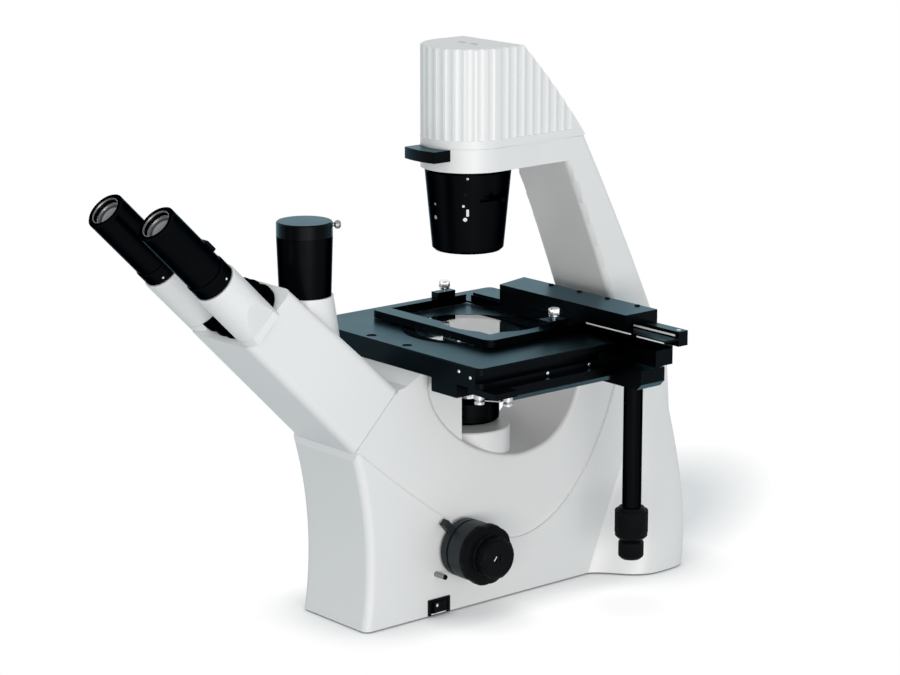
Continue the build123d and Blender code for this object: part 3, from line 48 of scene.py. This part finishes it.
back = Vector((sin(AZIMUTH) * cos(ELEVATION), -cos(AZIMUTH) * cos(ELEVATION), sin(ELEVATION)))
right = Vector((cos(AZIMUTH), sin(AZIMUTH), 0.0))
up = back.cross(right)
lens = bpy.data.cameras.new("photo_camera")
lens.lens = 115.4
lens.sensor_width = 36.0
lens.clip_end = 50.0
camera = bpy.data.objects.new("photo_camera", lens)
camera.matrix_world = Matrix.Translation(EYE) @ Matrix((right, up, back)).transposed().to_4x4()
scene.collection.objects.link(camera)
scene.camera = camera


class Value:
    """A shader socket that takes part in plain arithmetic: each operator adds one Math node."""

    def __init__(self, finish, socket):
        self.finish = finish
        self.socket = socket

    def maths(self, operation, first, second):
        return self.finish.node("ShaderNodeMath", {"operation": operation}, {0: first, 1: second})

    def __add__(self, other):
        return self.maths("ADD", self, other)

    def __radd__(self, other):
        return self.maths("ADD", other, self)

    def __sub__(self, other):
        return self.maths("SUBTRACT", self, other)

    def __mul__(self, other):
        return self.maths("MULTIPLY", self, other)

    def __rmul__(self, other):
        return self.maths("MULTIPLY", other, self)

    def __pow__(self, other):
        return self.maths("POWER", self, other)

    def __gt__(self, other):
        return self.maths("GREATER_THAN", self, other)


class Finish:
    """One material: its node tree, and one method that adds any node to it."""

    def __init__(self, name, tree=None):
        self.material = None
        if tree is None:
            self.material = bpy.data.materials.new(name)
            self.material.use_nodes = True
            tree = self.material.node_tree
        self.tree = tree
        self.tree.nodes.clear()

    def node(self, kind, settings=None, inputs=None, out=0):
        """Adds a node: its settings first, then the values or links of its sockets."""
        made = self.tree.nodes.new(kind)
        for key, value in (settings or {}).items():
            setattr(made, key, value)
        for key, value in (inputs or {}).items():
            if isinstance(value, Value):
                self.tree.links.new(value.socket, made.inputs[key])
            elif isinstance(value, tuple) and len(value) == 3 and made.inputs[key].type == "RGBA":
                made.inputs[key].default_value = (*value, 1.0)
            else:
                made.inputs[key].default_value = value
        return Value(self, made.outputs[out]) if made.outputs else None

    def place(self):
        """Place on the piece, in metres."""
        return self.node("ShaderNodeTexCoord", out="Object")

    def noise(self, scale, detail=3.0):
        """Noise between 0 and 1 with a number of features per metre."""
        inputs = {"Vector": self.place(), "Scale": scale, "Detail": detail}
        return self.node("ShaderNodeTexNoise", None, inputs)

    def mix(self, share, first, second):
        """Colour between two colours."""
        inputs = {0: share, 6: first, 7: second}
        return self.node("ShaderNodeMix", {"data_type": "RGBA"}, inputs, out=2)

    def bump(self, height, strength, distance):
        """Surface normal of a height."""
        inputs = {"Height": height, "Strength": strength, "Distance": distance}
        return self.node("ShaderNodeBump", None, inputs)

    def surface(self, **sockets):
        """Principled surface; socket names are written with underscores."""
        inputs = {key.replace("_", " "): value for key, value in sockets.items()}
        shader = self.node("ShaderNodeBsdfPrincipled", None, inputs)
        self.node("ShaderNodeOutputMaterial", None, {"Surface": shader})
        return self.material


def enamel(name, light, dark, roughness):
    """Sprayed paint on a casting: fine orange peel, slow changes of tone, darker towards the table.
    """
    f = Finish(name)
    slow = f.noise(9.0)
    peel = f.noise(1100.0, 2.0)
    height = f.node("ShaderNodeSeparateXYZ", None, {0: f.place()}, out="Z")
    # Tone darkens within 30 mm of the table.
    darker_low = f.node("ShaderNodeMapRange", None, {"Value": height, 1: 0.0, 2: 0.03, 3: 0.35, 4: 0.0})
    colour = f.mix(slow * 0.7 + darker_low * 0.6, light, dark)
    return f.surface(
        Base_Color=colour,
        Roughness=roughness + 0.08 * slow,
        Normal=f.bump(peel + 2.0 * f.noise(260.0, 2.0), 0.10, 0.00012),
        Coat_Weight=0.12,
        Coat_Roughness=0.2,
    )


def blackened(name, dark, light, roughness, grain, shine=0.07):
    """Moulded or rubber skin: fine grain in colour and gloss over slow handling marks."""
    f = Finish(name)
    fine = f.noise(grain, 2.0)
    slow = f.noise(28.0)
    return f.surface(
        Base_Color=f.mix(0.5 * fine + 0.5 * slow, dark, light),
        Roughness=roughness + 0.10 * slow + 0.06 * fine,
        Specular_IOR_Level=shine,
        Specular_Tint=(0.82, 0.95, 1.0),
        Normal=f.bump(fine, 0.10, 0.00006),
    )


def anodised(name, dark, light, roughness, sheen):
    """Black anodised skin over metal: next to black face on, a blue-green sheen at a low angle."""
    f = Finish(name)
    fine = f.noise(2400.0, 2.0)
    slow = f.noise(28.0)
    return f.surface(
        Base_Color=f.mix(0.5 * fine + 0.5 * slow, dark, light),
        Roughness=roughness + 0.08 * slow + 0.05 * fine,
        Metallic=1.0,
        Specular_Tint=sheen,
        Normal=f.bump(fine, 0.10, 0.00006),
    )


def coated(name, dark, light):
    """Coated eye lens: dark glass under a clear polished coat."""
    f = Finish(name)
    bloom = f.noise(120.0)
    return f.surface(
        Base_Color=f.mix(bloom, dark, light),
        Roughness=0.05 + 0.05 * bloom,
        Coat_Weight=1.0,
        Coat_Roughness=0.03,
    )


def bright(name, dark, light, roughness):
    """Bare metal: fine grain and a little haze."""
    f = Finish(name)
    grain = f.noise(900.0)
    haze = f.noise(60.0)
    return f.surface(
        Base_Color=f.mix(grain, dark, light),
        Roughness=roughness + 0.10 * haze + 0.05 * grain,
        Metallic=1.0,
        Normal=f.bump(grain, 0.06, 0.00005),
    )


def clear(name, light, dark, roughness):
    """Glass with faint smears."""
    f = Finish(name)
    smear = f.noise(70.0)
    return f.surface(
        Base_Color=f.mix(smear, light, dark),
        Roughness=roughness + 0.03 * smear,
        IOR=1.5,
        Transmission_Weight=1.0,
    )


white_enamel = enamel("white_enamel", (0.80, 0.80, 0.79), (0.74, 0.745, 0.74), 0.36)
black_anodised = anodised(
    "black_anodised", (0.0030, 0.0034, 0.0040), (0.0060, 0.0068, 0.0080), 0.24, (0.68, 0.90, 1.0)
)
barrel_black = anodised(
    "barrel_black", (0.0025, 0.0027, 0.0032), (0.0050, 0.0054, 0.0064), 0.22, (0.26, 0.36, 0.40)
)
black_moulding = blackened(
    "black_moulding", (0.002, 0.002, 0.003), (0.005, 0.005, 0.006), 0.36, 1500.0, 0.04
)
knob_skin = blackened("knob_skin", (0.010, 0.013, 0.015), (0.020, 0.025, 0.028), 0.38, 1800.0, 0.2)
black_rubber = blackened("black_rubber", (0.010, 0.010, 0.010), (0.025, 0.025, 0.025), 0.75, 900.0)
board_green = blackened("board_green", (0.02, 0.10, 0.04), (0.04, 0.16, 0.07), 0.4, 700.0, 0.5)
chrome = bright("chrome", (0.72, 0.73, 0.75), (0.86, 0.87, 0.88), 0.09)
steel = bright("steel", (0.42, 0.42, 0.43), (0.58, 0.58, 0.60), 0.26)
satin_silver = bright("satin_silver", (0.24, 0.24, 0.24), (0.36, 0.36, 0.35), 0.34)
plate_glass = clear("plate_glass", (0.93, 0.97, 0.96), (0.88, 0.94, 0.93), 0.015)
lens_glass = clear("lens_glass", (0.85, 0.90, 0.92), (0.78, 0.84, 0.88), 0.02)
eye_glass = coated("eye_glass", (0.07, 0.075, 0.08), (0.14, 0.145, 0.15))
mark_white = enamel("mark_white", (0.80, 0.80, 0.78), (0.70, 0.70, 0.68), 0.5)

finishes = {
    "white_paint": white_enamel,
    "black_anodised": black_anodised,
    "black_plastic": black_moulding,
    "chrome": chrome,
    "steel": steel,
    "glass": lens_glass,
    "rubber": black_rubber,
    "circuit_board": board_green,
}
own_finish = {
    "stage_insert": plate_glass,
    "coarse_knobs": knob_skin,
    "tension_ring": knob_skin,
    "right_eye_lens": eye_glass,
    "left_eye_lens": eye_glass,
    "light_path_rod": satin_silver,
    "wire_drive": steel,
    "rail_strip": black_anodised,
    "lock_screw": satin_silver,
    "stage_screws": black_moulding,
}
for barrel in (
    "right_eyepiece",
    "left_eyepiece",
    "right_diopter_ring",
    "left_diopter_ring",
    "photo_tube",
    "condenser_barrel",
    "iris_ring",
    "right_swing_plate",
    "left_swing_plate",
    "knob_post",
    "turret",
):
    own_finish[barrel] = barrel_black
for part in frame["record"]["subparts"]:
    node = frame["nodes"][part["node"]]
    node.data.materials.clear()
    node.data.materials.append(own_finish.get(part["node"], finishes[part["material_slot"]]))

# Places and directions on the part, in its millimetres
MM = 0.001
UPWARD = (0, 0, 1)
TUBE = np.array((0.0, -sqrt(0.5), sqrt(0.5)))
RISE = np.array((0.0, sqrt(0.5), sqrt(0.5)))
TUBE_FOOT = (34.0, -241.406, 269.549)
INDEX_ALONG = 63.5
INDEX_RADIUS = 17.2
TAB_ALONG = 84.0
TAB_RISE = 17.0
KNOB_AXLE = (0.0, -44.0, 55.5)
FINE_FACE = 91.8
POST = (127.1, 70.9, 0.0)
BEAM_TOP = (99.0, 249.0)
STAGE_EDGE = (113.5, 211.4)
STAGE_FRONT = -84.5
CLAMP_Y = 44.0
TURRET = (-11.5, 9.75)
OBJECTIVE_FOOT = 168.0
DIAL = (0.0, -104.0, 30.0)
CONE_RADIUS = 29.8
CONE_FOOT = 295.5
CONE_SLOPE = 0.0924
CONE_HIGHLIGHT_TURN = -41.0
CONE_HIGHLIGHT_HEIGHT = 331.3


def surface_piece(name, points, material, body, closed=(True, True)):
    """A piece from a grid of points in millimetres; a closed direction joins its end to its start.

    Points that fall together, as at a pole, are welded, and the faces are turned outwards.
    """
    rows, columns = points.shape[:2]
    index = np.arange(rows * columns).reshape(rows, columns)
    if closed[0]:
        index = np.concatenate((index, index[:1]), axis=0)
    if closed[1]:
        index = np.concatenate((index, index[:, :1]), axis=1)
    quads = np.stack((index[:-1, :-1], index[1:, :-1], index[1:, 1:], index[:-1, 1:]), axis=-1)
    mesh = bpy.data.meshes.new(name)
    mesh.from_pydata((points.reshape(-1, 3) * MM).tolist(), [], quads.reshape(-1, 4).tolist())
    shape = bmesh.new()
    shape.from_mesh(mesh)
    bmesh.ops.remove_doubles(shape, verts=shape.verts, dist=1e-7)
    bmesh.ops.recalc_face_normals(shape, faces=shape.faces)
    shape.to_mesh(mesh)
    shape.free()
    mesh.shade_smooth()
    mesh.set_sharp_from_angle(angle=radians(32))
    mesh.materials.append(material)
    piece = bpy.data.objects.new(name, mesh)
    scene.collection.objects.link(piece)
    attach(piece, body)
    return piece


def axes_of(direction):
    """A unit vector along a direction and two across it."""
    along = np.array(direction, float)
    along = along / np.linalg.norm(along)
    first = np.cross(along, (0.0, 0.0, 1.0) if abs(along[2]) < 0.9 else (0.0, 1.0, 0.0))
    first = first / np.linalg.norm(first)
    return along, first, np.cross(along, first)


def turned_piece(
    name, centre, direction, outline, material, body, ribs=0, depth=0.0, closed=True
):
    """A piece turned about an axis from an outline of (radius, height, ribbed share).

    Point = centre + height along the axis + radius around it; the radius drops by
    depth * share * (1 - |cos(ribs * angle / 2)|), which leaves a row of rounded ribs.
    An outline that isn't closed starts and ends on the axis.
    """
    outline = np.array(outline, float)
    count = max(72, ribs * 10)
    angle = np.arange(count) * 2 * pi / count
    along, first, second = axes_of(direction)
    spoke = np.cos(angle)[:, None] * first + np.sin(angle)[:, None] * second
    cut = depth * (1 - np.abs(np.cos(ribs * angle / 2)))
    radius = outline[None, :, 0] - cut[:, None] * outline[None, :, 2]
    height = outline[None, :, 1, None] * along
    points = np.array(centre, float) + height + radius[:, :, None] * spoke[:, None, :]
    return surface_piece(name, points, material, body, (True, closed))


def band(low, high, radius, proud, sunk=0.8):
    """Outline of a ribbed band around a cylinder: bevelled ends, inner wall sunk into it."""
    bevel = min(0.6, (high - low) / 5)
    return (
        (radius - sunk, low, 0),
        (radius, low, 0),
        (radius + proud, low + bevel, 1),
        (radius + proud, high - bevel, 1),
        (radius, high, 0),
        (radius - sunk, high, 0),
    )


def stud(name, centre, direction, radius, height, material, body, sunk=0.6):
    """Small round head: flat on top with a rounded edge, its foot sunk into what carries it."""
    outline = (
        (0, height, 0),
        (0.55 * radius, height, 0),
        (0.82 * radius, 0.88 * height, 0),
        (0.95 * radius, 0.6 * height, 0),
        (radius, 0.25 * height, 0),
        (radius, -sunk, 0),
        (0, -sunk, 0),
    )
    return turned_piece(name, centre, direction, outline, material, body, closed=False)


def slotted_head(name, centre, direction, radius, height, material, body):
    """Screw head with a slot: a turned head whose top drops by 0.6 of its height near one diameter.

    Point at share s of the radius and angle a: the top is level to 0.7 and then rounds off as
    1 - (s - 0.7)^2 * 5; where |s * cos(a)| < 0.16 and s < 0.96 the slot lowers it.
    """
    count = 120
    level, slot_half, slot_end, slot_depth, sunk = 0.7, 0.16, 0.96, 0.6, 0.6
    share = np.concatenate((np.linspace(0.0, 1.0, 26), (1.0, 0.0)))
    angle = np.arange(count) * 2 * pi / count
    along, first, second = axes_of(direction)
    spoke = np.cos(angle)[:, None] * first + np.sin(angle)[:, None] * second
    top = height * (1 - 5 * np.clip(share - level, 0, 1) ** 2)
    top[-2:] = -sunk
    near = np.abs(share[None, :] * np.cos(angle)[:, None]) < slot_half
    inside = near & (share[None, :] < slot_end)
    inside[:, -2:] = False
    rise = top[None, :] - slot_depth * height * inside
    points = (
        np.array(centre, float)
        + rise[:, :, None] * along
        + (radius * share)[None, :, None] * spoke[:, None, :]
    )
    return surface_piece(name, points, material, body, (True, False))


def tile(name, centre, normal, upward, halves, material, body, power=0.25):
    """Rounded block: a superellipsoid with half sizes across, up and out.

    Point = centre + across * c(v)c(u) + up * c(v)s(u) + out * s(v), where c and s are the
    cosine and sine brought to a small power with their sign kept.
    """
    out = np.array(normal, float) / np.linalg.norm(normal)
    side = np.cross(np.array(upward, float), out)
    side = side / np.linalg.norm(side)
    rise = np.cross(out, side)

    def squared(value):
        return np.sign(value) * np.abs(value) ** power

    count = 48
    u = np.arange(count) * 2 * pi / count
    v = np.linspace(-pi / 2, pi / 2, 25)
    flat = squared(np.cos(v).clip(0, 1))[None, :]
    points = (
        np.array(centre, float)
        + (halves[0] * squared(np.cos(u))[:, None] * flat)[..., None] * side
        + (halves[1] * squared(np.sin(u))[:, None] * flat)[..., None] * rise
        + (halves[2] * np.ones(count)[:, None] * squared(np.sin(v))[None, :])[..., None] * out
    )
    return surface_piece(name, points, material, body, (True, False))


# Focus knobs: a lobed front on the coarse knob, a lobed sleeve and a slotted screw on the fine one
for side, hand in ((1, "right"), (-1, "left")):
    outward = (side, 0.0, 0.0)
    front = (
        (23.6, 70.0, 0),
        (24.9, 70.0, 0),
        (25.9, 71.4, 1),
        (25.9, 76.6, 1),
        (25.2, 78.6, 0.9),
        (23.6, 79.3, 0.6),
        (17.4, 79.3, 0),
        (17.4, 78.6, 0),
        (23.0, 76.0, 0),
    )
    turned_piece(
        f"coarse_grip_{hand}",
        KNOB_AXLE,
        outward,
        front,
        black_moulding,
        "coarse",
        10,
        0.95,
    )
    turned_piece(
        f"fine_grip_{hand}",
        KNOB_AXLE,
        outward,
        band(80.6, 90.4, 17.0, 0.7),
        black_moulding,
        "fine",
        10,
        1.2,
    )
    face = (side * FINE_FACE, *KNOB_AXLE[1:])
    slotted_head(
        f"fine_screw_{hand}", face, outward, 3.4, 0.9, black_moulding, "fine"
    )
    tile(
        f"fine_index_{hand}",
        (side * FINE_FACE, -48.3, 56.8),
        outward,
        (0.0, 0.62, 0.78),
        (0.45, 2.3, 0.2),
        mark_white,
        "fine",
    )

# Stage knobs on the post
for axis, low, high, radius, ribs in (("y", 64.5, 84.0, 13.6, 40), ("x", 44.0, 56.5, 10.3, 32)):
    turned_piece(
        f"{axis}_knob_grip",
        POST,
        UPWARD,
        band(low, high, radius, 0.35),
        black_moulding,
        f"{axis}_knob",
        ribs,
        0.6,
    )

# Eyepieces: two silver rings in each mouth, index dots on the diopter rings, a tab on the right one
rim = ((12.6, 131.9, 0), (12.6, 133.0, 0), (11.8, 132.9, 0), (11.5, 131.9, 0))
seat = ((11.0, 127.5, 0), (11.0, 128.9, 0), (10.3, 128.7, 0), (9.9, 127.5, 0))
for side, hand, dot in ((1, "right", (50.8, -283.5, 317.0)), (-1, "left", (-19.7, -294.5, 309.1))):
    foot = np.array((side * TUBE_FOOT[0], *TUBE_FOOT[1:]))
    turned_piece(f"eye_rim_{hand}", foot, TUBE, rim, satin_silver, f"{hand}_tube")
    turned_piece(f"eye_seat_{hand}", foot, TUBE, seat, satin_silver, f"{hand}_tube")
    spot = np.array(dot) - foot
    radial = spot - (spot @ TUBE) * TUBE
    radial = radial / np.linalg.norm(radial)
    place = foot + INDEX_ALONG * TUBE + INDEX_RADIUS * radial
    body = f"{hand}_diopter"
    stud(f"index_dot_{hand}", place, radial, 0.9, 0.12, mark_white, body)
tile(
    "eyepiece_tab",
    np.array(TUBE_FOOT) + TAB_ALONG * TUBE + TAB_RISE * RISE,
    RISE,
    TUBE,
    (5.0, 5.5, 1.6),
    black_moulding,
    "right_tube",
)


def on_condenser(turn, height):
    """Place and outward direction on the condenser's cone, at a turn in degrees and a height.

    The cone's radius is CONE_RADIUS + CONE_SLOPE * (height - CONE_FOOT).
    """
    reach = CONE_RADIUS + CONE_SLOPE * (height - CONE_FOOT)
    across, ahead = cos(radians(turn)), sin(radians(turn))
    return (reach * across, reach * ahead, height), (across, ahead, -CONE_SLOPE)


# Condenser: dots, two screws, and a white bar of painted highlight on a slot
for name, turn, height, radius, proud, finish, slot in (
    ("condenser_dot_low", -44.6, 325.6, 1.7, 0.15, mark_white, "white_paint"),
    ("condenser_dot_high", -46.9, 336.9, 1.1, 0.15, mark_white, "white_paint"),
    ("condenser_screw_mid", -44.4, 346.1, 2.2, 0.5, black_moulding, "black_plastic"),
    ("condenser_screw_top", -41.0, 360.0, 1.2, 0.3, satin_silver, "steel"),
    ("condenser_dot_left", -94.9, 325.1, 1.7, 0.15, satin_silver, "steel"),
    ("condenser_dot_left_high", -93.6, 336.4, 1.0, 0.15, satin_silver, "steel"),
):
    place, outward = on_condenser(turn, height)
    stud(name, place, outward, radius, proud, finish, "stand")
# The white bar is a painted highlight on a slot in the condenser.
place, outward = on_condenser(CONE_HIGHLIGHT_TURN, CONE_HIGHLIGHT_HEIGHT)
tile(
    "condenser_slot_highlight",
    place,
    outward,
    UPWARD,
    (1.1, 3.0, 0.25),
    mark_white,
    "stand",
)

# Stage: small screws on the beam, the plate's edge and the bar, painted lines on the bar, and white
# lines on the rail strip that are partly scale lines and partly painted highlight
for number, x in enumerate((-5.4, 30.3, 64.8, 101.2)):
    slotted_head(
        f"beam_screw_{number}",
        (x, *BEAM_TOP),
        UPWARD,
        2.3,
        1.0,
        black_moulding,
        "y_stage",
    )
for number, y in enumerate((33.8, -12.0)):
    place = (STAGE_EDGE[0], y, STAGE_EDGE[1])
    stud(f"edge_screw_{number}", place, (1, 0, 0), 1.5, 0.12, chrome, "stand")
# The two strip lines on the rail strip are partly scale lines and partly painted highlight along the
# strip and the bar's lower edge.
for name, x, y, z, half, rise in (
    ("strip_line_and_highlight_left", 99.8, 67.6, 234.2, 27.0, 0.55),
    ("strip_line_and_highlight_right", 149.5, 67.6, 233.6, 16.0, 0.55),
    ("bar_scale", 137.5, 83.6, 237.0, 24.5, 0.8),
):
    tile(
        name,
        (x, y, z),
        (0, -1, 0),
        UPWARD,
        (half, rise, 0.25),
        mark_white,
        "x_stage",
        0.1,
    )
for number, (x, z) in enumerate(((88.2, 219.9), (102.0, 217.2))):
    place = (x, STAGE_FRONT, z)
    slotted_head(f"front_screw_{number}", place, (0, -1, 0), 1.4, 0.6, chrome, "stand")
stud("bar_screw", (160.5, 89.0, 240.6), UPWARD, 1.9, 0.15, chrome, "x_stage")
for hand, x in (("left", -82.7), ("right", 59.1)):
    turned_piece(
        f"clamp_grip_{hand}",
        (x, CLAMP_Y, 0.0),
        UPWARD,
        band(242.4, 247.4, 4.6, 0.3),
        chrome,
        f"{hand}_clamp",
        26,
        0.5,
    )

# Objectives: on each a ribbed collar and a coloured ring for its power
turret_turn = atan2(-TURRET[1], -TURRET[0])
turret_pitch = hypot(*TURRET)
for number, (length, colour) in enumerate(
    (
        (34.0, (0.55, 0.03, 0.03)),
        (42.0, (0.75, 0.50, 0.03)),
        (44.0, (0.04, 0.30, 0.08)),
        (46.0, (0.05, 0.22, 0.60)),
    )
):
    turn = turret_turn + number * pi / 2
    across = TURRET[0] + turret_pitch * cos(turn)
    ahead = TURRET[1] + turret_pitch * sin(turn)
    foot = (across, ahead, OBJECTIVE_FOOT)
    collar = band(1.4, 6.2, 9.6, 0.3)
    turned_piece(
        f"objective_grip_{number}", foot, UPWARD, collar, chrome, "turret", 30, 0.45
    )
    ring = band(length - 17.5, length - 14.5, 8.9, 0.12)
    paint = enamel(f"ring_paint_{number}", colour, tuple(0.85 * c for c in colour), 0.4)
    turned_piece(f"objective_ring_{number}", foot, UPWARD, ring, paint, "turret")

# Brightness dial: ribbed rim and a white dot
turned_piece(
    "dial_grip",
    DIAL,
    (-1, 0, 0),
    band(44.4, 50.6, 9.0, 0.35),
    black_moulding,
    "dial",
    28,
    0.6,
)
stud("dial_dot", (-52.5, DIAL[1], 35.2), (-1, 0, 0), 0.9, 0.12, mark_white, "dial")

# Seam at the head's foot as a thin dark line of painted shade in the joint, dark tip of the light
# rod, marks at the rocker
tile(
    "head_seam_shade_line",
    (41.5, -131.5, 177.4),
    (1, 0, 0),
    (0, 0.702, 0.712),
    (0.06, 33.0, 0.12),
    black_moulding,
    "stand",
)
stud(
    "rod_tip", (55.0, -71.0, 36.5), (1, 0, 0), 2.1, 0.8, black_moulding, "light_rod"
)
tile(
    "bezel_bar",
    (44.5, -69.5, 2.9),
    (1, 0, 0),
    UPWARD,
    (8.0, 0.5, 0.25),
    mark_white,
    "stand",
)
stud(
    "rocker_dot", (46.35, -72.4, 10.4), (7.5, 1.7, 0.0), 1.4, 0.15, mark_white, "rocker"
)


# Floor and light, in metres
FLOOR_HALF = 6.0
SHADOW_CENTRE = (-0.06, 0.27)
SHADOW_TURN = (0.866, 0.5)
SHADOW_STRETCH = 0.42
SHADOW_EDGE = (0.045, 0.105)
FOOT_SHADE = 0.05
LAMP_COLOUR = (1.0, 0.945, 0.925)


def seen_rays(f):
    """1 for rays from the camera, off gloss or through glass, otherwise 0."""
    kinds = ("Camera", "Glossy", "Transmission")
    rays = [f.node("ShaderNodeLightPath", out=f"Is {kind} Ray") for kind in kinds]
    return rays[0] + rays[1] + rays[2] > 0.5


def ground():
    """White floor that keeps the shadow: its own light takes over away from the shadow and the feet.

    The shadow's place is an ellipse turned by 30 degrees behind the stand. The light that the
    floor sends back to the part is dimmer and cooler than the floor looks.
    """
    f = Finish("pale_floor")
    x = f.node("ShaderNodeSeparateXYZ", None, {0: f.place()}, out="X") - SHADOW_CENTRE[0]
    y = f.node("ShaderNodeSeparateXYZ", None, {0: f.place()}, out="Y") - SHADOW_CENTRE[1]
    length = (SHADOW_TURN[0] * y - SHADOW_TURN[1] * x) * SHADOW_STRETCH
    width = SHADOW_TURN[0] * x + SHADOW_TURN[1] * y
    reach = (length * length + width * width) ** 0.5
    span = {"Value": reach, 1: SHADOW_EDGE[0], 2: SHADOW_EDGE[1], 3: 0.0, 4: 1.0}
    far = f.node("ShaderNodeMapRange", None, span)
    openness = f.node("ShaderNodeAmbientOcclusion", None, {"Distance": FOOT_SHADE}, out="AO")
    pale = f.mix(f.noise(40.0), (0.97, 0.97, 0.97), (0.95, 0.95, 0.95))
    shade = f.mix(seen_rays(f), (0.45, 0.51, 0.54), pale)
    diffuse = f.node("ShaderNodeBsdfDiffuse", None, {"Color": shade})
    own = f.node("ShaderNodeEmission", None, {"Color": (1.0, 1.0, 1.0), "Strength": 1.0})
    share = seen_rays(f) * (0.2 + 0.8 * far) * openness * openness
    both = f.node("ShaderNodeMixShader", None, {0: share, 1: diffuse, 2: own})
    f.node("ShaderNodeOutputMaterial", None, {"Surface": both})
    return f.material


corner = np.array([[-1.0, -1.0], [1.0, -1.0], [1.0, 1.0], [-1.0, 1.0]]) * FLOOR_HALF
floor_mesh = bpy.data.meshes.new("floor")
floor_mesh.from_pydata([(x, y, 0.0) for x, y in corner], [], [(0, 1, 2, 3)])
floor_mesh.materials.append(ground())
floor = bpy.data.objects.new("floor", floor_mesh)
scene.collection.objects.link(floor)

world = bpy.data.worlds.new("studio")
world.use_nodes = True
scene.world = world
sky = Finish("studio", world.node_tree)
seen = sky.node("ShaderNodeBackground", None, {"Color": (1.0, 1.0, 1.0), "Strength": 1.0})
lit = sky.node("ShaderNodeBackground", None, {"Color": (0.90, 0.97, 1.0), "Strength": 0.66})
both = sky.node("ShaderNodeMixShader", None, {0: seen_rays(sky), 1: lit, 2: seen})
sky.node("ShaderNodeOutputWorld", None, {"Surface": both})


def lamp(name, place, target, width, height, power):
    """Soft rectangular lamp at a place, facing a target."""
    light = bpy.data.lights.new(name, "AREA")
    light.shape = "RECTANGLE"
    light.size = width
    light.size_y = height
    light.energy = power
    light.color = LAMP_COLOUR
    item = bpy.data.objects.new(name, light)
    item.location = place
    item.rotation_euler = (Vector(target) - Vector(place)).to_track_quat("-Z", "Y").to_euler()
    scene.collection.objects.link(item)


lamp("right_lamp", (1.75, -1.3, 0.3), (0.0, 0.0, 0.15), 1.6, 0.6, 18.5)
lamp("low_lamp", (1.5, -0.5, 0.2), (0.0, 0.0, 0.08), 0.8, 0.4, 4.0)
